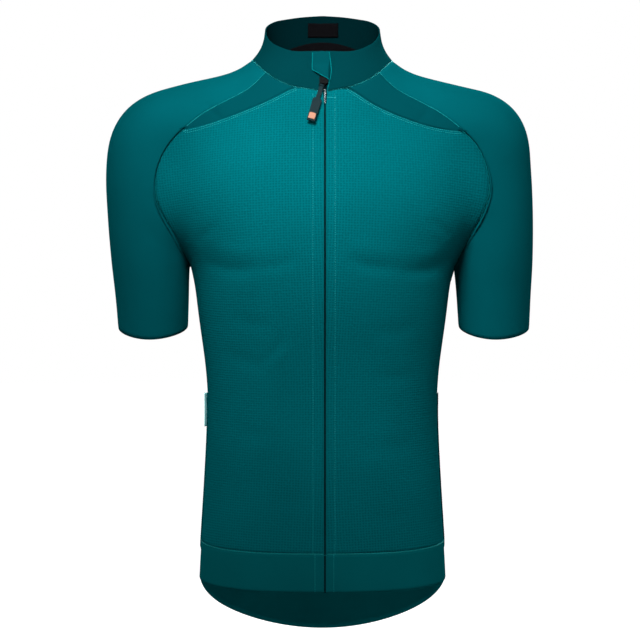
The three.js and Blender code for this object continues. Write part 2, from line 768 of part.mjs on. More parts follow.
// Stand collar: one strip round the neck, open at the zip
function collarGrid() {
  const base = (side) => {
    const s = seams[side];
    return [
      ...s.collarFront,
      ...s.collarInset.slice(1),
      ...s.collarSleeveFront.slice(1),
      ...s.collarSleeveBack.slice(1),
      ...s.collarBack.slice(1),
    ];
  };
  const top = (side, count) => seamPoints(collarTopLine, count, side);
  const bottomRow = [...base("left"), ...base("right").reverse().slice(1)];
  const half = (bottomRow.length - 1) / 2;
  const topRow = [...top("left", half), ...top("right", half).reverse().slice(1)];
  const grid = [];
  for (let i = 0; i <= cells.upCollar; i++) {
    const v = i / cells.upCollar;
    grid.push(bottomRow.map((p, j) => (i === 0 ? p.clone() : layOn(p.clone().lerp(topRow[j], v)))));
    const z = grid[i][0].z;
    grid[i][0].x = zipMiddle + slitHalf(z);
    grid[i][2 * half].x = zipMiddle - slitHalf(z);
  }
  return grid;
}
const collar = collarGrid();
const atCollarTop = (p) => collar.at(-1).some((q) => q.distanceTo(p) < 0.1);
const collarIsFree = (p) => besideZip(p) || atCollarTop(p);
addPiece("collar", wallOn(drawIn(joinSheet(cellsOf(collar)), collarIsFree), collarWall), cloths.plain);

// A wall on a single grid, with all of its edges where the grid ends
const patch = (grid, wall, liftAt) => wallOn(joinSheet(cellsOf(grid)), wall, liftAt);

// Points on the form over a spread of places across the front, given as x and z
function frontGrid(columns, rows, placeAt) {
  const grid = [];
  for (let i = 0; i <= rows; i++) {
    grid.push([]);
    for (let j = 0; j <= columns; j++) {
      const { x, z } = placeAt(j / columns, i / rows);
      grid[i].push(layOn(new THREE.Vector3(x, -frontDepth(z), z)));
    }
  }
  return grid;
}

// Zip tape behind the two front edges, and the closed chain of teeth between them
const zipRows = 30;
const tapeGrid = frontGrid(4, zipRows, (u, v) => ({
  x: zipMiddle + mix(-zipTape.half, zipTape.half, u),
  z: mix(hemHeight, zipTape.top, v),
}));
addPiece("zip_tape", patch(tapeGrid, zipTape.thickness, () => -zipTape.depth), cloths.plain);
const chainGrid = tapeGrid.slice(0, -1).map((row) => {
  const middle = row[2];
  return [-zipChain.half, zipChain.half].map((x) => layOn(middle.clone().setX(zipMiddle + x)));
});
addPiece("zip_chain", patch(chainGrid, zipChain.thickness, () => -zipChain.depth), cloths.tape);

// A flat place on the cloth, as the turn and shift that bring a part drawn flat onto it
function placeOnFront(x, z, turn = 0) {
  const at = frontGrid(1, 1, () => ({ x, z }))[0][0];
  const out = outward(at).normalize();
  const across = new THREE.Vector3(1, 0, 0).addScaledVector(out, -out.x).normalize();
  const up = out.clone().cross(across).normalize();
  const place = new THREE.Matrix4().makeBasis(across, up, out).setPosition(at);
  return place.multiply(new THREE.Matrix4().makeRotationZ(turn));
}

// A plate pushed out from a flat outline with rounded corners, its foot raised by base
function plate({ x = 0, y = 0, width, length, thickness, corner, base = 0 }) {
  const shape = new THREE.Shape();
  const [w, h] = [width / 2 - corner, length / 2 - corner];
  shape.absarc(x + w, y + h, corner, 0, quarter);
  shape.absarc(x - w, y + h, corner, quarter, 2 * quarter);
  shape.absarc(x - w, y - h, corner, 2 * quarter, 3 * quarter);
  shape.absarc(x + w, y - h, corner, 3 * quarter, 4 * quarter);
  const push = { depth: thickness, bevelEnabled: false, curveSegments: 4 };
  const solid = new THREE.ExtrudeGeometry(shape, push);
  return solid.translate(0, 0, base);
}

// Joins overlapping shapes into one closed solid, and cuts others out of it
function shaped(added, cut = []) {
  const solidOf = (shape) => {
    const bare = new THREE.BufferGeometry();
    const plain = shape.index ? shape.toNonIndexed() : shape;
    bare.setAttribute("position", plain.getAttribute("position"));
    const merged = mergeVertices(bare, 1e-4);
    const vertProperties = merged.attributes.position.array;
    const triVerts = new Uint32Array(merged.index.array);
    return new manifold.Manifold(new manifold.Mesh({ numProp: 3, vertProperties, triVerts }));
  };
  let whole = manifold.Manifold.union(added.map(solidOf));
  for (const shape of cut) whole = whole.subtract(solidOf(shape));
  const mesh = whole.getMesh();
  const geometry = new THREE.BufferGeometry();
  geometry.setAttribute("position", new THREE.BufferAttribute(Float32Array.from(mesh.vertProperties), 3));
  geometry.setIndex([...mesh.triVerts]);
  geometry.computeVertexNormals();
  return geometry;
}

function block(low, high) {
  const size = high.map((value, k) => value - low[k]);
  const middle = high.map((value, k) => (value + low[k]) / 2);
  return new THREE.BoxGeometry(...size).translate(...middle);
}

// A round bar that lies across the pull
function bar(radius, length) {
  return new THREE.CylinderGeometry(radius, radius, length, pull.sides).rotateZ(quarter);
}

// Zip slider: a small body that bridges the slit below the flap, with two lugs and a pin that carry the pull
const degrees = Math.PI / 180;
const pullPlace = placeOnFront(pull.x, pull.z, -pull.lean * degrees);
pullPlace.multiply(new THREE.Matrix4().makeTranslation(0, 0, pull.pinHeight));
const sliderPlace = placeOnFront(slider.x, slider.z);
const bodyOfSlider = plate({ ...slider, x: 0, thickness: slider.height, base: slider.stand });
const { lugInner, lugOuter, lugRound, lugReach } = pull;
const sliderShape = shaped([
  bodyOfSlider.applyMatrix4(sliderPlace),
  block([-lugOuter, -lugRound, -lugRound], [-lugInner, lugReach, lugRound]).applyMatrix4(pullPlace),
  block([lugInner, -lugRound, -lugRound], [lugOuter, lugReach, lugRound]).applyMatrix4(pullPlace),
  bar(pull.pinRadius, lugInner + lugOuter).applyMatrix4(pullPlace),
]);
addPiece("zip_slider", sliderShape, cloths.slider);

// Zip pull: a strap looped round the pin, which widens into a moulded block with a square tile
function pullOutline() {
  const shape = new THREE.Shape();
  const strap = pull.strapWidth / 2;
  const wide = pull.blockWidth / 2;
  const foot = wide * pull.taper;
  shape.moveTo(-strap, -pull.loopRadius / 2);
  shape.lineTo(-strap, -pull.strapLength);
  shape.lineTo(-wide, -pull.strapLength - pull.shoulder);
  shape.lineTo(-foot, -pull.blockEnd);
  shape.lineTo(foot, -pull.blockEnd);
  shape.lineTo(wide, -pull.strapLength - pull.shoulder);
  shape.lineTo(strap, -pull.strapLength);
  shape.lineTo(strap, -pull.loopRadius / 2);
  const solid = new THREE.ExtrudeGeometry(shape, { depth: pull.thickness, bevelEnabled: false });
  return solid.translate(0, 0, pull.foot);
}
const loop = bar(pull.loopRadius, pull.strapWidth);
const pullShape = shaped([pullOutline(), loop], [bar(pull.boreRadius, 2 * pull.strapWidth)]);
addPiece("zip_pull", pullShape.applyMatrix4(pullPlace), cloths.pull);
const tile = plate({
  y: pull.tileAt,
  width: pull.tile,
  length: pull.tile,
  thickness: pull.tileHeight,
  corner: pull.tileCorner,
  base: pull.foot + pull.thickness + pull.tileGap,
});
addPiece("pull_tile", tile.applyMatrix4(pullPlace), cloths.tile);

// Zip garage: a flap from the wearer's left collar edge that folds over the top of the zip and the slider
const garageGrid = frontGrid(10, 12, (u, v) => {
  const x = mix(garage.left, garage.right, u);
  const foot = mix(garage.leftFoot, garage.rightFoot, Math.pow(u, garage.curve));
  return { x, z: mix(foot, garage.top, v) };
});
function garageLift(p) {
  const overSlider = THREE.MathUtils.smoothstep(-p.z, -garage.bulgeTop, -garage.bulgeFoot);
  const towardSeam = 1 - THREE.MathUtils.smoothstep(p.x, ...garage.bulgeRight);
  const towardEdge = THREE.MathUtils.smoothstep(p.x, ...garage.bulgeLeft);
  return garage.wall + garage.lift + garage.bulge * overSlider * towardSeam * towardEdge;
}
addPiece("zip_garage", patch(garageGrid, garage.wall, garageLift), cloths.plain);

// Points on the form over a spread of places across the back
function backGridOf(columns, rows, placeAt) {
  const grid = [];
  for (let i = 0; i <= rows; i++) {
    grid.push([]);
    for (let j = 0; j <= columns; j++) {
      const { x, z } = placeAt(j / columns, i / rows);
      const depth = Math.sqrt(Math.max(0, 1 - (x / backNeck.side) ** 2));
      grid[i].push(layOn(new THREE.Vector3(x, backNeck.depth * depth, z)));
    }
  }
  return grid;
}

// A plain woven label and a tape, both stuck inside the back of the collar
const labelGrid = backGridOf(4, 2, (u, v) => ({
  x: mix(label.left, label.right, u),
  z: mix(label.foot, label.top, v),
}));
addPiece("collar_label", patch(labelGrid, label.thickness, () => -label.depth), cloths.tape);
const neckTapeGrid = backGridOf(12, 2, (u, v) => {
  const x = mix(-neckTape.half, neckTape.half, u);
  const top = neckTape.top - neckTape.droop * (x / neckTape.half) ** 2;
  return { x, z: mix(neckTape.foot, top, v) };
});
addPiece("neck_tape", patch(neckTapeGrid, neckTape.thickness, () => -neckTape.depth), cloths.tape);

// Rear pockets: one panel sewn on at its sides and foot and by two rows between, open along its top
function roundBack(columns, rows, from, to, footAt, topAt) {
  const grid = [];
  for (let i = 0; i <= rows; i++) {
    const heightAt = (angle) => mix(footAt(angle), topAt(angle), i / rows);
    grid.push(ringRow(heightAt, from, to, columns));
  }
  return grid;
}
const pocketGrid = roundBack(
  26, 8, pocket.from, Math.PI - pocket.from,
  (angle) => tailHeight(angle) + pocket.aboveHem,
  (angle) => mix(pocket.sideTop, pocket.middleTop, Math.sin(angle)),
);
addPiece("rear_pocket", patch(pocketGrid, pocket.wall, () => pocket.gap + pocket.wall), cloths.plain);

// Reflective strip on the wearer's right edge of the pockets
const stripFoot = () => strip.foot;
const stripTop = () => strip.top;
const stripGrid = roundBack(3, 3, Math.PI - strip.to, Math.PI - strip.from, stripFoot, stripTop);
addPiece("reflective_strip", patch(stripGrid, strip.wall, () => strip.gap + strip.wall), cloths.reflective);

export default jersey;
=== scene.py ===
import math
import bmesh
import bpy
import numpy as np
from mathutils import Matrix, Vector
from mathutils.bvhtree import BVHTree
from mathutils.kdtree import KDTree


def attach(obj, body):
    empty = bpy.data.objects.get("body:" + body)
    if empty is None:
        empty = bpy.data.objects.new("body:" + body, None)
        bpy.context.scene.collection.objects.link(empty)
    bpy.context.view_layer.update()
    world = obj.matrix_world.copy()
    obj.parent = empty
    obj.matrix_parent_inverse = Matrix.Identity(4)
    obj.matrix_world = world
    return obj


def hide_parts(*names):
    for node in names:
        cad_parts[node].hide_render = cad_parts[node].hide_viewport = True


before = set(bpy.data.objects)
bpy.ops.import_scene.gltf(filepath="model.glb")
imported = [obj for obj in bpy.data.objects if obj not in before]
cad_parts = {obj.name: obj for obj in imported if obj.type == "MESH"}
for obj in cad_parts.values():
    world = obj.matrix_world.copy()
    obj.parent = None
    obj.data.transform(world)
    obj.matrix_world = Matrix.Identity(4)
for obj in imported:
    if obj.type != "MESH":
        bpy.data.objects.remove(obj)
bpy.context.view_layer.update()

mm = 0.001

# The camera stands level in front of the jersey, a little to the side of its middle.
# Its long lens gives the flat view that clothes are photographed in.
camera = bpy.data.objects.new("camera", bpy.data.cameras.new("camera"))
bpy.context.collection.objects.link(camera)
camera.location = (-0.00325, -2.6, -0.3354)
camera.rotation_euler = (math.radians(90), 0, 0)
camera.data.sensor_width = 36
camera.data.lens = 112.5
bpy.context.scene.camera = camera
bpy.context.scene.view_settings.view_transform = "Standard"

# The two front panels are cut from a light polyester waffle knit, one each side of the zip.
# Their edges are turned under and sewn down along the zip tape, and soft folds lie across chest and waist.
# They are joined to the sleeves, the insets and the hem band by flat, overlocked seams.
cloth_nodes = ("front_left", "front_right", "hem_band_left", "hem_band_right", "shoulder_inset_left",
               "shoulder_inset_right", "sleeve_left", "sleeve_right", "back", "collar")
cloth_corners, cloth_faces = [], []
for node_name in cloth_nodes:
    node_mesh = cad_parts[node_name].data
    first = len(cloth_corners)
    cloth_corners += [corner.co.copy() for corner in node_mesh.vertices]
    cloth_faces += [[first + i for i in face.vertices] for face in node_mesh.polygons]
whole_cloth = BVHTree.FromPolygons(cloth_corners, cloth_faces)
merged_within = 0.01 * mm
rim_angle = math.radians(50)
ways_to_look = {
    "front": lambda x, z: (Vector((x, -1, z)), Vector((0, 1, 0))),
    "back": lambda x, z: (Vector((x, 1, z)), Vector((0, -1, 0))),
}
creases, skins, rims = [], {}, {}


def lay_creases(looking, rows):
    """Lays soft folds on the cloth. A row is the start, bend and end as seen from that side, then the height
    and half width, in mm."""
    for ax, az, bx, bz, cx, cz, height, half in rows:
        line = []
        for t in np.linspace(0, 1, 25):
            x = (1 - t) ** 2 * ax + 2 * t * (1 - t) * bx + t * t * cx
            z = (1 - t) ** 2 * az + 2 * t * (1 - t) * bz + t * t * cz
            hit = whole_cloth.ray_cast(*ways_to_look[looking](x * mm, z * mm))[0]
            if hit:
                line.append((*hit, math.sin(math.pi * t) ** 0.7))
        creases.append((np.array(line), height * mm, half * mm))


def area_facing(side, toward):
    """How much of a side's area looks one way."""
    return sum((face.normal * face.calc_area()).dot(toward) for face in side)


def outer_side(node, toward=None):
    """A bmesh of the outside of a CAD cloth piece, in four-sided cells, without rim or inner face."""
    bm = bmesh.new()
    bm.from_mesh(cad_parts[node].data)
    bmesh.ops.remove_doubles(bm, verts=bm.verts, dist=merged_within)
    bm.normal_update()
    left, sides = dict.fromkeys(bm.faces), []
    while left:
        side, waiting = [], [left.popitem()[0]]
        while waiting:
            face = waiting.pop()
            side.append(face)
            for edge in face.edges:
                if edge.calc_face_angle(0) < rim_angle:
                    for other in edge.link_faces:
                        if other in left:
                            del left[other]
                            waiting.append(other)
        sides.append(side)
    sides.sort(key=lambda side: -sum(face.calc_area() for face in side))
    if toward:
        sides = sorted(sides[:2], key=lambda side: -area_facing(side, toward))
    keep = set(sides[0])
    bmesh.ops.delete(bm, geom=[face for face in bm.faces if face not in keep], context="FACES")
    bmesh.ops.join_triangles(bm, faces=bm.faces, angle_face_threshold=math.radians(40),
                             angle_shape_threshold=math.radians(60))
    return bm


def flatten_to_cut(piece):
    """Unwraps a sheet to its flat cut, in metres, with the cloth's length upwards."""
    bpy.context.view_layer.objects.active = piece
    piece.select_set(True)
    bpy.ops.object.mode_set(mode="EDIT")
    bpy.ops.mesh.select_all(action="SELECT")
    bpy.ops.uv.unwrap(method="ANGLE_BASED", margin=0)
    bpy.ops.object.mode_set(mode="OBJECT")
    piece.select_set(False)
    mesh = piece.data
    flat = np.empty(2 * len(mesh.loops))
    mesh.uv_layers.active.data.foreach_get("uv", flat)
    flat = flat.reshape(-1, 2)
    corner = np.empty(len(mesh.loops), dtype=int)
    mesh.loops.foreach_get("vertex_index", corner)
    height = np.empty(3 * len(mesh.vertices))
    mesh.vertices.foreach_get("co", height)
    height = height.reshape(-1, 3)[corner, 2]
    laid = 0
    for face in mesh.polygons:
        p = flat[face.loop_start:face.loop_start + face.loop_total]
        laid += abs((p[:, 0] * np.roll(p[:, 1], -1) - p[:, 1] * np.roll(p[:, 0], -1)).sum()) / 2
    flat -= flat.mean(axis=0)
    up = np.linalg.lstsq(flat, height - height.mean(), rcond=None)[0]
    up /= np.linalg.norm(up)
    scale = math.sqrt(sum(face.area for face in mesh.polygons) / laid)
    flat = np.stack([flat @ (up[1], -up[0]), flat @ up], axis=1) * scale
    mesh.uv_layers.active.data.foreach_set("uv", flat.ravel())


def rim_loops(bm):
    """The open edges of a sheet, one array of points and one of normals for each loop."""
    left = dict.fromkeys(edge for edge in bm.edges if edge.is_boundary)
    loops = []
    while left:
        edge = next(iter(left))
        del left[edge]
        start, corner = edge.verts
        ring = [start, corner]
        while True:
            step = next((e for e in corner.link_edges if e in left), None)
            if step is None:
                break
            del left[step]
            corner = step.other_vert(corner)
            ring.append(corner)
        if ring[0] is ring[-1]:
            ring.pop()
        loops.append((np.array([v.co for v in ring]), np.array([v.normal for v in ring])))
    return loops


def tree_of(points):
    """A search tree that finds the nearest of some points."""
    found = KDTree(len(points))
    for i, p in enumerate(points):
        found.insert(p, i)
    found.balance()
    return found


def make_sheet(name, node, levels, wall=1.3, toward=None, flatten=False, finer=None,
               edge_dip=0.25, dip_over=2.0):
    """A sheet of cloth on the outside of its CAD piece, with the creases laid so far, its edges let down a
    little into the seams, and its own thickness inwards."""
    bm = outer_side(node, toward)
    if finer:
        finer(bm)
    mesh = bpy.data.meshes.new(name)
    bm.to_mesh(mesh)
    bm.free()
    piece = bpy.data.objects.new(name, mesh)
    bpy.context.collection.objects.link(piece)
    if flatten:
        flatten_to_cut(piece)
    smooth = piece.modifiers.new("smooth", "SUBSURF")
    smooth.levels = smooth.render_levels = levels
    smooth.boundary_smooth = "PRESERVE_CORNERS"
    fine = bpy.data.meshes.new_from_object(piece.evaluated_get(bpy.context.evaluated_depsgraph_get()))
    piece.modifiers.clear()
    piece.data = fine
    fine.name = name
    shape_sheet(piece, edge_dip, dip_over)
    thickness = piece.modifiers.new("thickness", "SOLIDIFY")
    thickness.thickness = wall * mm
    thickness.offset = -1
    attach(piece, "garment")
    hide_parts(node)
    return piece


def shape_sheet(piece, edge_dip, dip_over):
    """Moves a sheet's points out or in by the creases near them, and lets its edges down."""
    mesh = piece.data
    points = np.empty(3 * len(mesh.vertices))
    mesh.vertices.foreach_get("co", points)
    points = points.reshape(-1, 3)
    normals = np.array([corner.vector for corner in mesh.vertex_normals])
    lift = np.zeros(len(points))
    for line, height, half in creases:
        if len(line) < 2:
            continue
        reach = 3 * half
        low, high = line[:, :3].min(axis=0) - reach, line[:, :3].max(axis=0) + reach
        near = np.nonzero(((points > low) & (points < high)).all(axis=1))[0]
        if len(near):
            away = np.linalg.norm(points[near, None] - line[None, :, :3], axis=2)
            closest = away.argmin(axis=1)
            away = away[np.arange(len(near)), closest]
            lift[near] += height * line[closest, 3] * np.exp(-((away / half) ** 2))
    bm = bmesh.new()
    bm.from_mesh(mesh)
    tree = tree_of([p for loop, _ in rim_loops(bm) for p in loop])
    inward = np.array([tree.find(p)[2] for p in points])
    lift -= edge_dip * mm * np.exp(-((inward / (dip_over * mm)) ** 2))
    points += normals * lift[:, None]
    mesh.vertices.foreach_set("co", points.ravel())
    mesh.update()
    mesh.shade_smooth()
    bm.free()
    bm = bmesh.new()
    bm.from_mesh(mesh)
    rims[piece.name] = rim_loops(bm)
    skins[piece.name] = BVHTree.FromBMesh(bm)
    bm.free()


topstitch_right, topstitch_left = -12.0, 15.5
topstitch_top, topstitch_foot = -52, -626
lay_creases("front", (
    # start x, z; bend x, z; end x, z; height; half width
    (-152, -262, -112, -281, -70, -268, -2.0, 9),
    (-80, -268, -54, -273, -30, -256, -1.3, 8),
    (30, -256, 56, -276, 96, -270, -1.8, 8),
    (88, -270, 128, -283, 162, -262, -2.1, 9),
    (-146, -240, -108, -256, -62, -246, 1.0, 10),
    (34, -238, 66, -254, 108, -250, 0.9, 10),
    (104, -250, 132, -258, 156, -244, 1.0, 9),
    (-160, -240, -150, -226, -128, -214, -1.1, 7),
    (162, -232, 150, -218, 130, -208, -1.2, 7),
    (-78, -392, -62, -378, -46, -356, -0.8, 6),
    (-70, -400, -52, -384, -36, -362, 0.7, 7),
    (-118, -330, -92, -344, -58, -340, -0.8, 9),
    (-122, -372, -100, -392, -64, -394, -1.0, 10),
    (120, -338, 96, -357, 58, -350, -1.0, 10),
    (116, -402, 92, -414, 62, -404, -0.7, 8),
    (-116, -470, -88, -485, -50, -478, -0.7, 10),
    (118, -486, 88, -503, 44, -494, -0.8, 11),
    (-62, -560, -34, -570, -18, -556, -0.6, 9),
    (104, -574, 84, -590, 40, -584, -0.6, 10),
    (topstitch_right, topstitch_top, topstitch_right, -300, topstitch_right, topstitch_foot, -0.45, 2.2),
    (topstitch_left, topstitch_top, topstitch_left, -300, topstitch_left, topstitch_foot, -0.45, 2.2),
    (10.6, -58, 10.6, -220, 10.6, -400, -0.4, 1.3),
))


def add(tree, kind, inputs=None, **settings):
    """One node in a tree, with its settings, and its inputs given as numbers or as what they link to."""
    node = tree.nodes.new(kind)
    for name, value in settings.items():
        setattr(node, name, value)
    for socket, value in (inputs or {}).items():
        if isinstance(value, bpy.types.NodeSocket):
            tree.links.new(value, node.inputs[socket])
        else:
            node.inputs[socket].default_value = value
    return node


def new_effect(name, inputs, outputs):
    """An empty node group with the named inputs and outputs, for a finish that several materials share."""
    group = bpy.data.node_groups.new(name, "ShaderNodeTree")
    for label, kind in inputs:
        group.interface.new_socket(label, in_out="INPUT", socket_type=kind)
    for label, kind in outputs:
        group.interface.new_socket(label, in_out="OUTPUT", socket_type=kind)
    return group, group.nodes.new("NodeGroupInput"), group.nodes.new("NodeGroupOutput")


waffle, waffle_in, waffle_out = new_effect("waffle_knit", [("Place", "NodeSocketVector")],
                                           [("Height", "NodeSocketFloat"), ("Ridge", "NodeSocketFloat")])
waffle_across, waffle_along = 0.0036, 0.0032
loop_across, loop_along = 0.0006, 0.00045
cells = add(waffle, "ShaderNodeMapping", {"Vector": waffle_in.outputs["Place"],
                                          "Scale": (1 / waffle_across, 1 / waffle_along, 1)})
hollows = add(waffle, "ShaderNodeTexVoronoi", {"Vector": cells.outputs[0], "Scale": 1.0, "Randomness": 0.2},
              voronoi_dimensions="2D")
ridge = add(waffle, "ShaderNodeMapRange", {"Value": hollows.outputs["Distance"], "From Min": 0.12,
                                           "From Max": 0.56}, interpolation_type="SMOOTHSTEP")
loops = add(waffle, "ShaderNodeMapping", {"Vector": waffle_in.outputs["Place"],
                                          "Scale": (1 / loop_across, 1 / loop_along, 1)})
yarn = add(waffle, "ShaderNodeTexVoronoi", {"Vector": loops.outputs[0], "Scale": 1.0, "Randomness": 0.35},
           voronoi_dimensions="2D")
height = add(waffle, "ShaderNodeMath", {0: yarn.outputs["Distance"], 1: -0.22, 2: ridge.outputs[0]},
             operation="MULTIPLY_ADD")
waffle.links.new(height.outputs[0], waffle_out.inputs["Height"])
waffle.links.new(ridge.outputs[0], waffle_out.inputs["Ridge"])

wear, wear_in, wear_out = new_effect("dye_and_handling",
                                     [("Colour", "NodeSocketColor"), ("Place", "NodeSocketVector")],
                                     [("Colour", "NodeSocketColor"), ("Rough", "NodeSocketFloat")])
broad = add(wear, "ShaderNodeTexNoise", {"Vector": wear_in.outputs["Place"], "Scale": 9.0, "Detail": 3.0})
tone = add(wear, "ShaderNodeMapRange", {"Value": broad.outputs[0], "From Min": 0.3, "From Max": 0.7,
                                        "To Min": 0.93, "To Max": 1.06})
dyed = add(wear, "ShaderNodeVectorMath", {0: wear_in.outputs["Colour"], "Scale": tone.outputs[0]},
           operation="SCALE")
flecks = add(wear, "ShaderNodeTexNoise", {"Vector": wear_in.outputs["Place"], "Scale": 420.0, "Detail": 2.0})
rough = add(wear, "ShaderNodeMapRange", {"Value": flecks.outputs[0], "To Min": 0.52, "To Max": 0.78})
wear.links.new(dyed.outputs[0], wear_out.inputs["Colour"])
wear.links.new(rough.outputs[0], wear_out.inputs["Rough"])


def new_material(name, constants):
    """A material with one shader, whose constant numbers stay on its own sockets."""
    material = bpy.data.materials.new(name)
    material.use_nodes = True
    tree = material.node_tree
    shader = tree.nodes["Principled BSDF"]
    for socket, value in constants.items():
        shader.inputs[socket].default_value = value
    return material, tree, shader, add(tree, "ShaderNodeTexCoord")


def finish_cloth(tree, shader, colour, place, height, depth, strength=0.8):
    """Joins a cloth's colour, its handled surface and its relief to the shader."""
    handled = add(tree, "ShaderNodeGroup", {}, node_tree=wear)
    if isinstance(colour, bpy.types.NodeSocket):
        tree.links.new(colour, handled.inputs["Colour"])
    else:
        handled.inputs["Colour"].default_value = colour
    tree.links.new(place, handled.inputs["Place"])
    bump = add(tree, "ShaderNodeBump", {"Height": height, "Distance": depth * mm, "Strength": strength})
    tree.links.new(handled.outputs["Colour"], shader.inputs["Base Color"])
    tree.links.new(handled.outputs["Rough"], shader.inputs["Roughness"])
    tree.links.new(bump.outputs[0], shader.inputs["Normal"])


def nap(weight, roughness):
    """A soft teal nap with no gloss, as the constants of a cloth's shader."""
    return {"Sheen Weight": weight, "Sheen Roughness": roughness, "Sheen Tint": (0.0, 0.7, 0.75, 1),
            "Specular IOR Level": 0.0}


def paint(piece, material):
    """Gives a piece one material in place of what it had."""
    piece.data.materials.clear()
    piece.data.materials.append(material)


teal_ridge, teal_hollow_painted_shade = (0.0001, 0.074, 0.086, 1), (0.0001, 0.056, 0.065, 1)
front_knit, tree, shader, place = new_material("teal_waffle_knit", nap(0.03, 0.45))
pattern = add(tree, "ShaderNodeGroup", {}, node_tree=waffle)
tree.links.new(place.outputs["UV"], pattern.inputs["Place"])
# The waffle's hollows take a darker teal than its ridges: painted shade in the hollows, over the bump.
colour = add(tree, "ShaderNodeMix", {0: pattern.outputs["Ridge"], 6: teal_hollow_painted_shade, 7: teal_ridge},
             data_type="RGBA")
finish_cloth(tree, shader, colour.outputs[2], place.outputs["Object"], pattern.outputs["Height"],
             depth=0.38)
beside_zip = 30 * mm


def split_beside_zip(bm):
    """Narrower cells next to the zip, so that the turned edge and its line of sewing can be shaped."""
    across = []
    for edge in bm.edges:
        run = edge.verts[0].co - edge.verts[1].co
        near_zip = max(abs(corner.co.x) for corner in edge.verts) < beside_zip
        if near_zip and abs(run.x) > 2 * abs(run.z):
            across.append(edge)
    bmesh.ops.subdivide_edges(bm, edges=across, cuts=2, use_grid_fill=True)


front_left = make_sheet("front_panel_left", "front_left", 3, flatten=True, finer=split_beside_zip)
front_right = make_sheet("front_panel_right", "front_right", 3, flatten=True, finer=split_beside_zip)
for piece, area in ((front_left, 0.118), (front_right, 0.119)):
    paint(piece, front_knit)

# The back is one wide piece of a smooth stretch knit, from the collar and the sleeves down to a longer tail.
# It is brushed inside, its side seams meet the front panels, and its lower edge is cut clean.
fine, fine_in, fine_out = new_effect("smooth_knit", [("Place", "NodeSocketVector")],
                                     [("Height", "NodeSocketFloat")])
wale, course = 0.0008, 0.0006
wales = add(fine, "ShaderNodeMapping", {"Vector": fine_in.outputs["Place"],
                                        "Scale": (1 / wale, 1 / wale, 1 / course)})
knit_loops = add(fine, "ShaderNodeTexVoronoi", {"Vector": wales.outputs[0], "Scale": 1.0, "Randomness": 0.4})
soft = add(fine, "ShaderNodeMapRange", {"Value": knit_loops.outputs["Distance"], "From Max": 0.8,
                                        "To Min": 1.0, "To Max": 0.0})
fine.links.new(soft.outputs[0], fine_out.inputs["Height"])


def smooth_knit(name, colour, constants):
    """A smooth, fine cloth dyed in one colour."""
    material, tree, shader, place = new_material(name, constants)
    knit = add(tree, "ShaderNodeGroup", {}, node_tree=fine)
    tree.links.new(place.outputs["Object"], knit.inputs["Place"])
    finish_cloth(tree, shader, colour, place.outputs["Object"], knit.outputs["Height"], depth=0.15,
                 strength=0.5)
    return material


def line_inside(piece, material):
    """Gives the inside of a sheet a material of its own."""
    piece.data.materials.append(material)
    piece.modifiers["thickness"].material_offset = 1


lay_creases("back", (
    # start x, z; bend x, z; end x, z; height; half width
    (-120, -196, -60, -226, -10, -224, -1.6, 14),
    (118, -206, 66, -232, 24, -240, -1.3, 12),
    (-96, -150, -58, -172, -20, -178, -0.9, 9),
    (104, -140, 70, -168, 40, -176, -1.1, 10),
    (-150, -330, -90, -352, -34, -342, -1.5, 15),
    (148, -346, 92, -372, 20, -368, -1.8, 16),
    (-140, -420, -70, -438, 10, -428, -1.2, 13),
))
no_gloss = {"Specular IOR Level": 0.0}
back_knit = smooth_knit("back_knit", (0.0002, 0.06, 0.07, 1), nap(0.04, 0.5))
back_inside = smooth_knit("back_brushed_inside", (0.0003, 0.11, 0.125, 1), no_gloss)
back = make_sheet("back_panel", "back", 2)
paint(back, back_knit)
line_inside(back, back_inside)

# The shoulder insets are narrow pointed pieces of a smooth, firm knit, one on each front shoulder.
# Each is joined between the front panel and the sleeve, and its lower edge is sewn down twice.
lay_creases("front", (
    # start x, z; bend x, z; end x, z; height; half width
    (-150, -56, -142, -70, -124, -86, -1.8, 4),
    (138, -64, 128, -78, 114, -92, -1.0, 5),
))
inset_knit = smooth_knit("inset_knit", (0.0002, 0.034, 0.041, 1), nap(0.03, 0.5))
for side, area in (("left", 0.0042), ("right", 0.0033)):
    inset = make_sheet("shoulder_inset_cloth_" + side, "shoulder_inset_" + side, 2,
                       toward=Vector((0, -0.5, 1)))
    paint(inset, inset_knit)

# The raglan sleeves are cut in one piece each from a smooth, fine knit, with one seam under the arm.
# They run up to the collar over the shoulder, and their cuffs are left open with a bonded edge.
lay_creases("front", (
    # start x, z; bend x, z; end x, z; height; half width
    (222, -168, 206, -176, 192, -196, -1.4, 8),
    (-222, -176, -206, -186, -190, -204, -1.3, 8),
    (214, -196, 200, -214, 194, -236, -1.2, 9),
    (-228, -214, -214, -230, -206, -250, -0.9, 8),
))
lay_creases("back", (
    # start x, z; bend x, z; end x, z; height; half width
    (206, -150, 184, -178, 172, -206, -1.6, 10),
    (-208, -146, -186, -180, -174, -214, -1.4, 10),
    (238, -196, 216, -214, 200, -242, -1.1, 9),
    (-240, -188, -220, -206, -206, -228, -1.3, 10),
))
sleeve_knit = smooth_knit("sleeve_knit", (0.0002, 0.054, 0.064, 1), nap(0.03, 0.45))
for side, area in (("left", 0.100), ("right", 0.105)):
    sleeve = make_sheet("sleeve_cloth_" + side, "sleeve_" + side, 2)
    paint(sleeve, sleeve_knit)
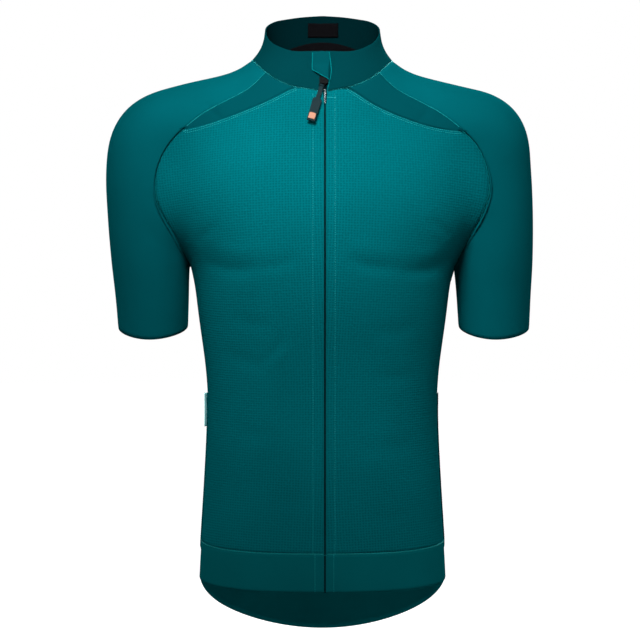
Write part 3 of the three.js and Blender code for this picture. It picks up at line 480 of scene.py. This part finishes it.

# The collar is a low standing band of double knit, folded at its top edge and higher at the back.
# Its inside is painted darker, as painted shade. It is joined to the body by a cover seam and opens at the
# zip.
collar_knit = smooth_knit("collar_knit", (0.0002, 0.021, 0.025, 1), nap(0.03, 0.5))
# The collar's own cloth in a much darker colour: painted shade for its inside face.
collar_inside_painted_shade = smooth_knit("collar_inside_painted_shade", (0.0002, 0.009, 0.011, 1), no_gloss)
lay_creases("front", (
    # start x, z; bend x, z; end x, z; height; half width
    (14.5, 5, 16.5, -20, 12.5, -43, -0.7, 2.2),
    (-17, 4, -19, -20, -24, -38, -0.5, 3),
))
collar = make_sheet("collar_band", "collar", 3, wall=1.7)
paint(collar, collar_knit)
# The collar's inside face takes the painted shade.
line_inside(collar, collar_inside_painted_shade)

# The hem band of the front is a firm elastic strip of smooth knit, from the zip to each side seam.
# It is joined to the front panels with a narrow cover seam, and its lower edge is raw and flat.
band_knit = smooth_knit("band_knit", (0.0002, 0.062, 0.07, 1), nap(0.03, 0.5))
for side in ("left", "right"):
    band = make_sheet("hem_band_cloth_" + side, "hem_band_" + side, 3)
    paint(band, band_knit)

# The seams hold the panels edge to edge, with a flat cover stitch in a lighter thread over those that show.
# A thin rolled edge of cloth fills each join, and a narrow tape of the same cloth lies under it.
# Rows of plain stitches hold down the lower edge of the inset and the side seams.
thread, tree, shader, place = new_material("teal_thread", {"Sheen Weight": 0.05, "Specular IOR Level": 0.1,
                                                           "Roughness": 0.5})
deep_thread, pale_thread = (0.003, 0.15, 0.155, 1), (0.015, 0.32, 0.33, 1)
strands = add(tree, "ShaderNodeTexNoise", {"Vector": place.outputs["Object"], "Scale": 900.0, "Detail": 2.0})
lustre = add(tree, "ShaderNodeMix", {0: strands.outputs[0], 6: deep_thread, 7: pale_thread}, data_type="RGBA")
ply = add(tree, "ShaderNodeBump", {"Height": strands.outputs[0], "Distance": 0.1 * mm, "Strength": 0.6})
tree.links.new(lustre.outputs[2], shader.inputs["Base Color"])
tree.links.new(ply.outputs[0], shader.inputs["Normal"])


def meeting_line(one, other, reach=3.5):
    """The line where two sheets meet, in order, halfway between their edges, with the cloth's normals. A few
    points of an edge that lie further apart don't break it."""
    tree = tree_of(np.concatenate([loop for loop, _ in rims[other]]))
    best, skipped = ([], None, None), 5
    for points, normals in rims[one]:
        found = [tree.find(p) for p in points]
        close = [i for i, (_, _, away) in enumerate(found) if away < reach * mm]
        runs = []
        for i in close:
            if runs and i - runs[-1][-1] <= skipped:
                runs[-1].append(i)
            else:
                runs.append([i])
        if len(runs) > 1 and runs[0][0] + len(points) - runs[-1][-1] <= skipped:
            runs[0] = runs.pop() + runs[0]
        for run in runs:
            if len(run) > len(best[0]):
                middle = np.array([(points[i] + np.array(found[i][0])) / 2 for i in run])
                best = (run, middle, normals[run])
    return best[1], best[2]


def evenly(line, step):
    """The same line in even steps, given in mm, with its small kinks smoothed out."""
    points, normals = line
    smooth = points.copy()
    smooth[1:-1] = (points[:-2] + 2 * points[1:-1] + points[2:]) / 4
    run = np.concatenate([[0], np.cumsum(np.linalg.norm(np.diff(smooth, axis=0), axis=1))])
    count = max(2, round(run[-1] / (step * mm)))
    at = np.linspace(0, run[-1], count + 1)
    spots, outs = (np.stack([np.interp(at, run, values[:, k]) for k in range(3)], axis=1)
                   for values in (smooth, normals))
    return spots, outs / np.linalg.norm(outs, axis=1)[:, None]


def directions(line):
    """Along and across a line, at each of its points."""
    along = np.gradient(line[0], axis=0)
    along /= np.linalg.norm(along, axis=1)[:, None]
    across = np.cross(line[1], along)
    return along, across / np.linalg.norm(across, axis=1)[:, None]


def beside(line, sheet, by):
    """A line moved sideways by some mm, to the side where the sheet lies, and onto that sheet."""
    line = evenly(line, 2.0)
    _, across = directions(line)
    ways = []
    for sign in (1, -1):
        found = [skins[sheet].find_nearest(Vector(p)) for p in line[0] + sign * by * mm * across]
        ways.append((sum(away for _, _, _, away in found), found))
    found = min(ways, key=lambda way: way[0])[1]
    return np.array([spot for spot, _, _, _ in found]), np.array([out for _, out, _, _ in found])


def carried(name, mesh, material, body="garment"):
    """A piece with its finished mesh and its material, on the body that carries it."""
    mesh.shade_smooth()
    piece = bpy.data.objects.new(name, mesh)
    bpy.context.collection.objects.link(piece)
    paint(piece, material)
    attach(piece, body)
    return piece


def sew(name, rows, length=2.0, gap=0.9, thick=0.42, slant=0.0, sink=0.1):
    """Rows of stitches as one piece. Each is a small rounded bar on the cloth, turned across the row by the
    slant, in radians. The other sizes are in mm."""
    bar = bmesh.new()
    bmesh.ops.create_uvsphere(bar, u_segments=6, v_segments=5, radius=1)
    bmesh.ops.rotate(bar, verts=bar.verts, matrix=Matrix.Rotation(math.radians(90), 3, "Y"))
    bmesh.ops.scale(bar, verts=bar.verts, vec=(length * mm / 2, thick * mm / 2, thick * mm / 2))
    stitch = bpy.data.meshes.new("stitch")
    bar.to_mesh(stitch)
    bar.free()
    sewn = bmesh.new()
    for row in rows:
        line = evenly(row, length * math.cos(slant) + gap)
        along, across = directions(line)
        for point, out, way, side in zip(line[0], line[1], along, across):
            one = stitch.copy()
            lie = Matrix((way * math.cos(slant) + side * math.sin(slant),
                          side * math.cos(slant) - way * math.sin(slant), out)).transposed().to_4x4()
            one.transform(Matrix.Translation(point + out * (thick / 2 - sink) * mm) @ lie)
            sewn.from_mesh(one)
            bpy.data.meshes.remove(one)
    mesh = bpy.data.meshes.new(name)
    sewn.to_mesh(mesh)
    sewn.free()
    return carried(name, mesh, thread)


def cord_along(name, line, thick, material):
    """A round cord of cloth or thread along a line, as a closed mesh."""
    curve = bpy.data.curves.new(name, "CURVE")
    curve.dimensions = "3D"
    curve.bevel_depth = thick * mm / 2
    curve.bevel_resolution = 2
    curve.use_fill_caps = True
    spline = curve.splines.new("POLY")
    spline.points.add(len(line[0]) - 1)
    for knot, spot in zip(spline.points, line[0]):
        knot.co = (*spot, 1)
    path = bpy.data.objects.new(name, curve)
    mesh = bpy.data.meshes.new_from_object(path)
    bpy.data.objects.remove(path)
    mesh.name = name
    return carried(name, mesh, material)


def strip_along(name, line, width, below, material, past_ends=False):
    """A narrow flat strip of cloth that follows a line, below the cloth's face, as a sheet with a wall."""
    line = evenly(line, 4.0)
    if past_ends:
        spots, outs = line
        spots = np.concatenate([[2 * spots[0] - spots[1]], spots, [2 * spots[-1] - spots[-2]]])
        line = (spots, outs[[0, *range(len(outs)), -1]])
    _, across = directions(line)
    bm = bmesh.new()
    start = line[0] - across * width * mm / 2 - line[1] * below * mm
    row = [bm.verts.new(p) for p in start]
    first = [bm.edges.new(pair) for pair in zip(row, row[1:])]
    spots = tree_of(start)
    for new in bmesh.ops.extrude_edge_only(bm, edges=first)["geom"]:
        if isinstance(new, bmesh.types.BMVert):
            new.co += Vector(across[spots.find(new.co)[1]] * width * mm)
    bmesh.ops.recalc_face_normals(bm, faces=bm.faces)
    mesh = bpy.data.meshes.new(name)
    bm.to_mesh(mesh)
    bm.free()
    piece = carried(name, mesh, material)
    wall = piece.modifiers.new("thickness", "SOLIDIFY")
    wall.thickness = 0.4 * mm
    wall.offset = 0
    return piece


def nearest_ends(one, other, overlap=3.0):
    """The straight line between the nearest ends of two lines, with some mm more at both ends."""
    pairs = [(math.dist(one[0][i], other[0][j]), i, j) for i in (0, -1) for j in (0, -1)]
    away, i, j = min(pairs)
    start, end = one[0][i], other[0][j]
    more = (end - start) / max(away, 1 * mm) * overlap * mm
    spots = np.linspace(start - more, end + more, 5)
    return spots, np.repeat([(one[1][i] + other[1][j]) / 2], 5, axis=0)


seam_knit = smooth_knit("seam_binding", (0.0003, 0.12, 0.13, 1), no_gloss)
seam_tape_width, seam_tape_below = 8.0, 1.75
collar_tape_width, collar_tape_below = 9.0, 2.2
for side in ("left", "right"):
    front, sleeve, inset = "front_panel_" + side, "sleeve_cloth_" + side, "shoulder_inset_cloth_" + side
    band = "hem_band_cloth_" + side
    armhole, raglan_back = meeting_line(sleeve, front), meeting_line(sleeve, "back_panel")
    inset_top, inset_foot = meeting_line(inset, sleeve), meeting_line(inset, front)
    side_seam, band_top = meeting_line("back_panel", front), meeting_line(band, front)
    band_side = meeting_line("back_panel", band)
    sew("armhole_cover_stitch_" + side, [armhole, inset_top, raglan_back], length=2.2, gap=0.5, slant=1.0,
        sink=-0.15)
    sew("inset_topstitch_" + side, [beside(inset_foot, front, by) for by in (1.6, 4.4)], gap=0.6, thick=0.55)
    sew("side_seam_stitch_" + side, [beside(line, "back_panel", 1.4) for line in (side_seam, band_side)])
    sew("band_cover_stitch_" + side, [band_top], length=2.2, gap=0.4, slant=1.0, sink=-0.15)
    for name, line in (("armhole", armhole), ("raglan_back", raglan_back), ("inset_top", inset_top),
                       ("inset_foot", inset_foot), ("side_seam", side_seam), ("band_top", band_top),
                       ("band_side", band_side)):
        strip_along(f"{name}_tape_{side}", line, seam_tape_width, seam_tape_below, sleeve_knit,
                    past_ends="band" not in name)
        cloth = seam_knit if name in ("armhole", "inset_top", "band_top") else sleeve_knit
        lift = 0.3 if name == "armhole" else -0.05
        rolled = evenly((line[0] + line[1] * lift * mm, line[1]), 1.5)
        cord_along(f"{name}_seam_{side}", rolled, 1.0, cloth)
    strip_along("inset_tip_" + side, nearest_ends(inset_foot, armhole), seam_tape_width, 0.4, inset_knit)
    cord_along("inset_tip_seam_" + side, nearest_ends(inset_top, armhole), 1.0, seam_knit)
for side in ("left", "right"):
    bases = [meeting_line("collar_band", other + side) for other in
             ("front_panel_", "shoulder_inset_cloth_", "sleeve_cloth_")]
    sew("collar_cover_stitch_" + side, bases, length=2.2, gap=0.7, slant=0.9, sink=-0.1)
    for number, base in enumerate(bases):
        strip_along(f"collar_base_tape_{side}_{number}", base, collar_tape_width, collar_tape_below,
                    collar_knit, past_ends=number > 0)
collar_back = meeting_line("collar_band", "back_panel")
sew("collar_cover_stitch_back", [collar_back], length=2.2, gap=0.7, slant=0.9)
strip_along("collar_base_tape_back", collar_back, collar_tape_width, collar_tape_below, collar_knit,
            past_ends=True)

# The zip is a closed coil between two woven tapes behind the fronts, whose edges are turned under beside it.
# Its slider is black enamelled metal with a moulded rubber pull, which swings on a pin between two lugs.
zip_middle, zip_top, zip_foot = 3.0, -60, -674.5
turned_edge_out, tape_lip_out = 1.95, 0.5
tooth_size = (1.5 * mm, 1.1 * mm, 0.9 * mm)
tooth_pitch, tooth_offset, teeth_behind = 1.55, 0.35, 0.9
teeth_top, teeth_foot = -43.0, -674.0
front_corner_right = (-0.8, -46.5)
band_stitch_top, band_stitch_foot = -629, -674
bartack_run = ((5.8, -56), (16.5, -56.6))
front_plain = smooth_knit("front_turned_edge", (0.0002, 0.07, 0.08, 1), nap(0.04, 0.5))


def line_on(sheets, knots, sink=0.0):
    """Points on straight runs between knots (x, z) as seen from the front, on the outermost of the sheets or
    a little under its face, with the normals there."""
    spots, outs = [], []
    for start, end in zip(knots, knots[1:]):
        steps = max(2, round(math.dist(start, end) / 2))
        for t in np.linspace(0, 1, steps, endpoint=end == knots[-1]):
            x, z = (start[k] + (end[k] - start[k]) * t for k in (0, 1))
            hits = [skins[name].ray_cast(Vector((x * mm, -1, z * mm)), Vector((0, 1, 0))) for name in sheets]
            hits = [hit for hit in hits if hit[0]]
            if hits:
                spot, out, _, _ = min(hits, key=lambda hit: hit[0].y)
                spots.append(spot - out * sink * mm)
                outs.append(out)
    return np.array(spots), np.array(outs)


tape_weave, tree, shader, place = new_material("zip_tape_weave",
                                               {"Specular IOR Level": 0.02, "Roughness": 0.8})
herringbone = add(tree, "ShaderNodeTexWave",
                  {"Vector": place.outputs["Object"], "Scale": 260.0, "Distortion": 0.6},
                  bands_direction="DIAGONAL")
# The twill's dark colours are the tape's own, and they also stand for the shade in the slit between the
# turned edges: partly painted shade.
tape_and_shade_dark, tape_and_shade_light = (0.0003, 0.005, 0.007, 1), (0.0005, 0.012, 0.015, 1)
twill = add(tree, "ShaderNodeMix", {0: herringbone.outputs["Fac"], 6: tape_and_shade_dark, 7: tape_and_shade_light},
            data_type="RGBA")
ribs = add(tree, "ShaderNodeBump",
           {"Height": herringbone.outputs["Fac"], "Distance": 0.2 * mm, "Strength": 0.7})
tree.links.new(twill.outputs[2], shader.inputs["Base Color"])
tree.links.new(ribs.outputs[0], shader.inputs["Normal"])
tape = make_sheet("zip_tape_cloth", "zip_tape", 2, wall=0.8, toward=Vector((0, -1, 0)), edge_dip=0)
paint(tape, tape_weave)

coil_metal, tree, shader, place = new_material("zip_coil", {"Metallic": 0.6, "Specular IOR Level": 0.5})
scuffs = add(tree, "ShaderNodeTexNoise", {"Vector": place.outputs["Object"], "Scale": 700.0, "Detail": 3.0})
shine = add(tree, "ShaderNodeMapRange", {"Value": scuffs.outputs[0], "To Min": 0.25, "To Max": 0.55})
coil_dark, coil_light = (0.2, 0.24, 0.26, 1), (0.42, 0.46, 0.48, 1)
silver = add(tree, "ShaderNodeMix", {0: scuffs.outputs[0], 6: coil_dark, 7: coil_light}, data_type="RGBA")
tree.links.new(silver.outputs[2], shader.inputs["Base Color"])
tree.links.new(shine.outputs[0], shader.inputs["Roughness"])
tooth_shape = bmesh.new()
bmesh.ops.create_cube(tooth_shape, size=1)
bmesh.ops.scale(tooth_shape, verts=tooth_shape.verts, vec=tooth_size)
bmesh.ops.bevel(tooth_shape, geom=tooth_shape.edges, offset=0.3 * mm, affect="EDGES", segments=2, profile=0.5,
                material=-1)
tooth = bpy.data.meshes.new("tooth")
tooth_shape.to_mesh(tooth)
tooth_shape.free()
chain_face = BVHTree.FromObject(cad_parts["zip_chain"], bpy.context.evaluated_depsgraph_get())
teeth = bmesh.new()
for number, z in enumerate(np.arange(teeth_top, teeth_foot, -tooth_pitch)):
    spot = chain_face.ray_cast(Vector((zip_middle * mm, -1, z * mm)), Vector((0, 1, 0)))[0]
    if spot:
        one = tooth.copy()
        sideways = tooth_offset if number % 2 else -tooth_offset
        one.transform(Matrix.Translation(spot + Vector((sideways * mm, teeth_behind * mm, 0))))
        teeth.from_mesh(one)
        bpy.data.meshes.remove(one)
teeth_mesh = bpy.data.meshes.new("zip_teeth")
teeth.to_mesh(teeth_mesh)
teeth.free()
chain = carried("zip_teeth", teeth_mesh, coil_metal)
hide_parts("zip_chain")

for side, way in (("left", 1), ("right", -1)):
    sheets = ("front_panel_" + side, "hem_band_cloth_" + side)
    edge_x = zip_middle + way * turned_edge_out
    straight = [(edge_x, zip_top), (edge_x, zip_foot)]
    turned = [front_corner_right, *straight] if side == "right" else straight
    cord_along("turned_edge_" + side, line_on(sheets, turned, 0.2), 1.7, front_plain)
    # A lip of the dark tape fills the slit between the turned edges. Its darkness is partly painted shade in
    # the slit.
    lip, out = line_on(sheets, straight, 0.6)
    lip[:, 0] = (zip_middle + way * tape_lip_out) * mm
    cord_along("zip_tape_lip_" + side, (lip, out), 1.2, tape_weave)
for side, front_x, band_x in (("right", topstitch_right, -9.5), ("left", topstitch_left, 14.0)):
    on_front = line_on(("front_panel_" + side,), ((front_x, topstitch_top), (front_x, topstitch_foot)))
    on_band = line_on(("hem_band_cloth_" + side,), ((band_x, band_stitch_top), (band_x, band_stitch_foot)))
    sew("zip_topstitch_" + side, [on_front, on_band], length=2.0, gap=0.8)
sew("bartack", [line_on(("front_panel_left",), bartack_run)], length=1.0, gap=0.1, thick=0.8)

nearly_flat, sharp_corner = math.radians(2), math.radians(35)


def rounded_copy(name, node, bevel, body, material):
    """A finer copy of a moulded or cast CAD piece, with its edges rounded."""
    bm = bmesh.new()
    bm.from_mesh(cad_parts[node].data)
    bmesh.ops.remove_doubles(bm, verts=bm.verts, dist=merged_within)
    bmesh.ops.dissolve_limit(bm, angle_limit=nearly_flat, verts=bm.verts, edges=bm.edges)
    bm.normal_update()
    sharp = [edge for edge in bm.edges if edge.calc_face_angle(0) > sharp_corner]
    bmesh.ops.bevel(bm, geom=sharp, offset=bevel * mm, affect="EDGES", segments=3, profile=0.5, material=-1,
                    clamp_overlap=True)
    mesh = bpy.data.meshes.new(name)
    bm.to_mesh(mesh)
    bm.free()
    piece = carried(name, mesh, material, body)
    weighted = piece.modifiers.new("even_shading", "WEIGHTED_NORMAL")
    weighted.keep_sharp = True
    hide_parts(node)
    return piece


def moulded(name, dark, light, rough_from, rough_to, grain, depth, constants):
    """A cast, enamelled or moulded surface: fine grain, with slight differences of colour and gloss."""
    material, tree, shader, place = new_material(name, constants)
    grains = add(tree, "ShaderNodeTexNoise",
                 {"Vector": place.outputs["Object"], "Scale": grain, "Detail": 4.0})
    tone = add(tree, "ShaderNodeMix", {0: grains.outputs[0], 6: dark, 7: light}, data_type="RGBA")
    gloss = add(tree, "ShaderNodeMapRange", {"Value": grains.outputs[0], "From Min": 0.3, "From Max": 0.7,
                                             "To Min": rough_from, "To Max": rough_to})
    bump = add(tree, "ShaderNodeBump", {"Height": grains.outputs[0], "Distance": depth * mm, "Strength": 0.5})
    tree.links.new(tone.outputs[2], shader.inputs["Base Color"])
    tree.links.new(gloss.outputs[0], shader.inputs["Roughness"])
    tree.links.new(bump.outputs[0], shader.inputs["Normal"])
    return material


enamel = moulded("black_enamel", (0.0003, 0.0005, 0.0008, 1), (0.001, 0.0015, 0.002, 1), 0.35, 0.5, 600.0,
                 0.05, {"Specular IOR Level": 0.02})
rubber = moulded("dark_rubber", (0.0008, 0.006, 0.008, 1), (0.002, 0.012, 0.015, 1), 0.55, 0.75, 900.0, 0.08,
                 {"Specular IOR Level": 0.06})
inlay = moulded("orange_inlay", (0.2, 0.08, 0.045, 1), (0.28, 0.115, 0.065, 1), 0.4, 0.55, 300.0, 0.05,
                {"Specular IOR Level": 0.15})
rounded_copy("slider_body", "zip_slider", 0.22, "garment", enamel)
rounded_copy("rubber_pull", "zip_pull", 0.3, "pull", rubber)
rounded_copy("pull_inlay", "pull_tile", 0.18, "pull", inlay)

# The flap is a folded piece of collar cloth from the wearer's left, over the top of the zip.
# It keeps the slider off the neck. Its free edges and the collar's end beside it are turned in paler cloth.
flap_kept_below, flap_stretch = -9 * mm, 1.53
flap_side, flap_fold = -12.4 * mm, 3 * mm
flap_foot, flap_attached = -18.5 * mm, 9 * mm
collar_gap_from, collar_gap_to = -3 * mm, 6 * mm


def carry_to_fold(bm):
    """Carries the flap's top up to the folded edge of the collar, as close to the collar as it was. Over the
    gap for the zip, the collar's cloth at the wearer's right of it is what counts."""
    ahead = Vector((0, 1, 0))
    for corner in bm.verts:
        if corner.co.z > flap_kept_below:
            x = min(corner.co.x, collar_gap_from) if corner.co.x < collar_gap_to else corner.co.x
            was = skins["collar_band"].ray_cast(Vector((x, -1, corner.co.z)), ahead)[0]
            corner.co.z = flap_kept_below + (corner.co.z - flap_kept_below) * flap_stretch
            now = skins["collar_band"].ray_cast(Vector((x, -1, corner.co.z)), ahead)[0]
            corner.co.y += now.y - was.y


collar_light = smooth_knit("collar_folded_edge", (0.0003, 0.085, 0.092, 1), nap(0.04, 0.5))
flap = make_sheet("zip_flap", "zip_garage", 3, wall=0.7, toward=Vector((0, -1, 0.2)), finer=carry_to_fold,
                  edge_dip=0.2, dip_over=1.2)
paint(flap, smooth_knit("flap_knit", (0.0002, 0.032, 0.038, 1), no_gloss))
flap_rim, flap_out = rims["zip_flap"][0]
at_side = (flap_rim[:, 0] < flap_side) & (flap_rim[:, 2] < flap_fold)
at_foot = (flap_rim[:, 2] < flap_foot) & (flap_rim[:, 0] < flap_attached)
free = list(np.nonzero(at_side | at_foot)[0])
breaks = [k for k in range(1, len(free)) if free[k] - free[k - 1] > 1]
if breaks:
    free = free[breaks[0]:] + free[:breaks[0]]
flap_edge = evenly((flap_rim[free] - flap_out[free] * 0.2 * mm, flap_out[free]), 0.8)
cord_along("flap_turned_edge", flap_edge, 1.1, collar_light)
collar_end = ((8.3, 3.5), (10.4, -11), (11.2, -22.3), (9.9, -31), (7.8, -38.6), (6.2, -46.2), (5.0, -60))
far_edge = line_on(("collar_band", "zip_flap", "front_panel_left"), collar_end, 0.15)
cord_along("collar_turned_edge", evenly(far_edge, 1.0), 1.2, collar_light)

# A bare black label and a bare black tape of woven satin are sewn inside the back of the collar.
# The tape covers the neck seam.
satin, tree, shader, place = new_material("black_satin", {"Specular IOR Level": 0.0, "Roughness": 0.45})
weft = add(tree, "ShaderNodeTexWave", {"Vector": place.outputs["Object"], "Scale": 420.0, "Distortion": 0.3},
           bands_direction="Z")
satin_dark, satin_light = (0.0012, 0.0011, 0.0014, 1), (0.0045, 0.0042, 0.005, 1)
sheen_line = add(tree, "ShaderNodeMix", {0: weft.outputs["Fac"], 6: satin_dark, 7: satin_light},
                 data_type="RGBA")
rib = add(tree, "ShaderNodeBump", {"Height": weft.outputs["Fac"], "Distance": 0.1 * mm, "Strength": 0.6})
tree.links.new(sheen_line.outputs[2], shader.inputs["Base Color"])
tree.links.new(rib.outputs[0], shader.inputs["Normal"])
for name, node, flat, area in (("label_cloth", "collar_label", (0.042, 0.019), 0.00075),
                               ("neck_tape_cloth", "neck_tape", (0.1, 0.02), 0.0015)):
    lining = make_sheet(name, node, 2, wall=0.5, toward=Vector((0, 1, 0)), edge_dip=0)
    paint(lining, satin)

# The rear pockets are one panel of the back's cloth, sewn on at its sides and foot and by two pairs of rows.
# Its open top edge is turned and stitched. A small tab of pale reflective tape is sewn on at the wearer's
# right, with its front edge loose.
pocket = make_sheet("pocket_panel", "rear_pocket", 2, wall=1.0, toward=Vector((0, 1, 0)), edge_dip=0.3)
paint(pocket, back_knit)
film, tree, shader, place = new_material("reflective_film", {"Specular IOR Level": 0.5})
beads = add(tree, "ShaderNodeTexVoronoi", {"Vector": place.outputs["Object"], "Scale": 2500.0})
bead_bright, bead_teal = (0.6, 1.0, 1.0, 1), (0.35, 0.95, 0.95, 1)
glitter = add(tree, "ShaderNodeMix", {0: beads.outputs["Distance"], 6: bead_bright, 7: bead_teal},
              data_type="RGBA")
dull = add(tree, "ShaderNodeMapRange", {"Value": beads.outputs["Distance"], "To Min": 0.25, "To Max": 0.5})
tree.links.new(glitter.outputs[2], shader.inputs["Base Color"])
tree.links.new(dull.outputs[0], shader.inputs["Roughness"])
tab_lift, tab_sewn_at, tab_free_width = 2.2 * mm, 13.1 * mm, 8.7 * mm


def lift_front_edge(bm):
    """Lets the tab's free front edge stand off the pocket, as worn tape does."""
    for corner in bm.verts:
        share = min(1, max(0, (tab_sewn_at - corner.co.y) / tab_free_width))
        corner.co.x -= tab_lift * share ** 1.5


tab = make_sheet("reflective_tab", "reflective_strip", 3, wall=0.4, toward=Vector((-1, 0.2, 0)),
                 finer=lift_front_edge, edge_dip=0.1)
paint(tab, film)
divider_angle, row_apart = 22, 0.6
back_radius, row_foot, row_top = 158, -735, -420


def pocket_row(angle_from_middle):
    """A row of sewing from the pocket's foot to its top, at some degrees from the middle of the back."""
    spots, outs = [], []
    x = back_radius * math.sin(math.radians(angle_from_middle))
    for z in np.arange(row_foot, row_top, 3.0):
        spot, out, _, _ = skins["pocket_panel"].ray_cast(Vector((x * mm, 1, z * mm)), Vector((0, -1, 0)))
        if spot and spot.y > 0:
            spots.append(spot)
            outs.append(out)
    return np.array(spots), np.array(outs)


dividers = [pocket_row(angle + more) for angle in (-divider_angle, divider_angle)
            for more in (-row_apart, row_apart)]
sew("pocket_dividers", dividers, length=2.2, gap=0.8)
sew("pocket_edge_stitch", [beside(rims["pocket_panel"][0], "pocket_panel", 2.5)], length=2.2, gap=0.8)

# The floor is pale and plain, and floor and background look evenly lit, as in a studio.
# One soft lamp stands above the chest, and others at both sides and behind, with a faint fill from overhead.
floor_mesh = bpy.data.meshes.new("floor")
bm = bmesh.new()
floor_reach, floor_height = 12, -0.8
bmesh.ops.create_grid(bm, x_segments=1, y_segments=1, size=floor_reach)
bmesh.ops.translate(bm, verts=bm.verts, vec=(0, 0, floor_height))
bm.to_mesh(floor_mesh)
bm.free()
floor = bpy.data.objects.new("floor", floor_mesh)
bpy.context.collection.objects.link(floor)
floor_paint, tree, shader, place = new_material("pale_floor", {
    "Base Color": (0.5, 0.5, 0.5, 1), "Roughness": 0.9, "Specular IOR Level": 0.0, "Emission Strength": 0.8})
looked_at = add(tree, "ShaderNodeLightPath")
black, white = (0, 0, 0, 1), (1, 1, 1, 1)
lit_floor = add(tree, "ShaderNodeMix", {0: looked_at.outputs["Is Camera Ray"], 6: black, 7: white},
                data_type="RGBA")
tree.links.new(lit_floor.outputs[2], shader.inputs["Emission Color"])
paint(floor, floor_paint)

world = bpy.data.worlds.new("studio")
bpy.context.scene.world = world
world.use_nodes = True
sky = world.node_tree
backdrop = sky.nodes["Background"]
backdrop.inputs["Color"].default_value = white
where = add(sky, "ShaderNodeTexCoord")
upwards = add(sky, "ShaderNodeSeparateXYZ", {0: where.outputs["Generated"]})
overhead = add(sky, "ShaderNodeMapRange", {"Value": upwards.outputs["Z"], "From Min": 0.35, "From Max": 0.95,
                                           "To Min": 0.1, "To Max": 0.8}, interpolation_type="SMOOTHSTEP")
seen = add(sky, "ShaderNodeLightPath")
level = add(sky, "ShaderNodeMix", {0: seen.outputs["Is Camera Ray"], 2: overhead.outputs[0], 3: 1.0})
sky.links.new(level.outputs[0], backdrop.inputs["Strength"])


def soft_lamp(name, at, toward, power, cone, size):
    """A round lamp whose light fades evenly to the edge of its cone."""
    lamp = bpy.data.objects.new(name, bpy.data.lights.new(name, "SPOT"))
    bpy.context.collection.objects.link(lamp)
    lamp.data.energy = power
    lamp.data.spot_size = math.radians(cone)
    lamp.data.spot_blend = 1.0
    lamp.data.shadow_soft_size = size
    lamp.location = at
    lamp.rotation_euler = (Vector(toward) - Vector(at)).to_track_quat("-Z", "Y").to_euler()


soft_lamp("chest_lamp", (-0.16, -0.85, 0.45), (0.01, -0.1, -0.1), 122, 54, 0.22)
soft_lamp("right_lamp", (-1.3, 0.05, 0.75), (-0.2, 0, -0.2), 26, 60, 0.4)
soft_lamp("left_lamp", (1.3, -0.1, 0.7), (0.2, 0, -0.2), 42, 60, 0.4)
soft_lamp("back_lamp", (0.5, 1.7, 0.9), (0, 0.1, -0.3), 260, 50, 0.4)
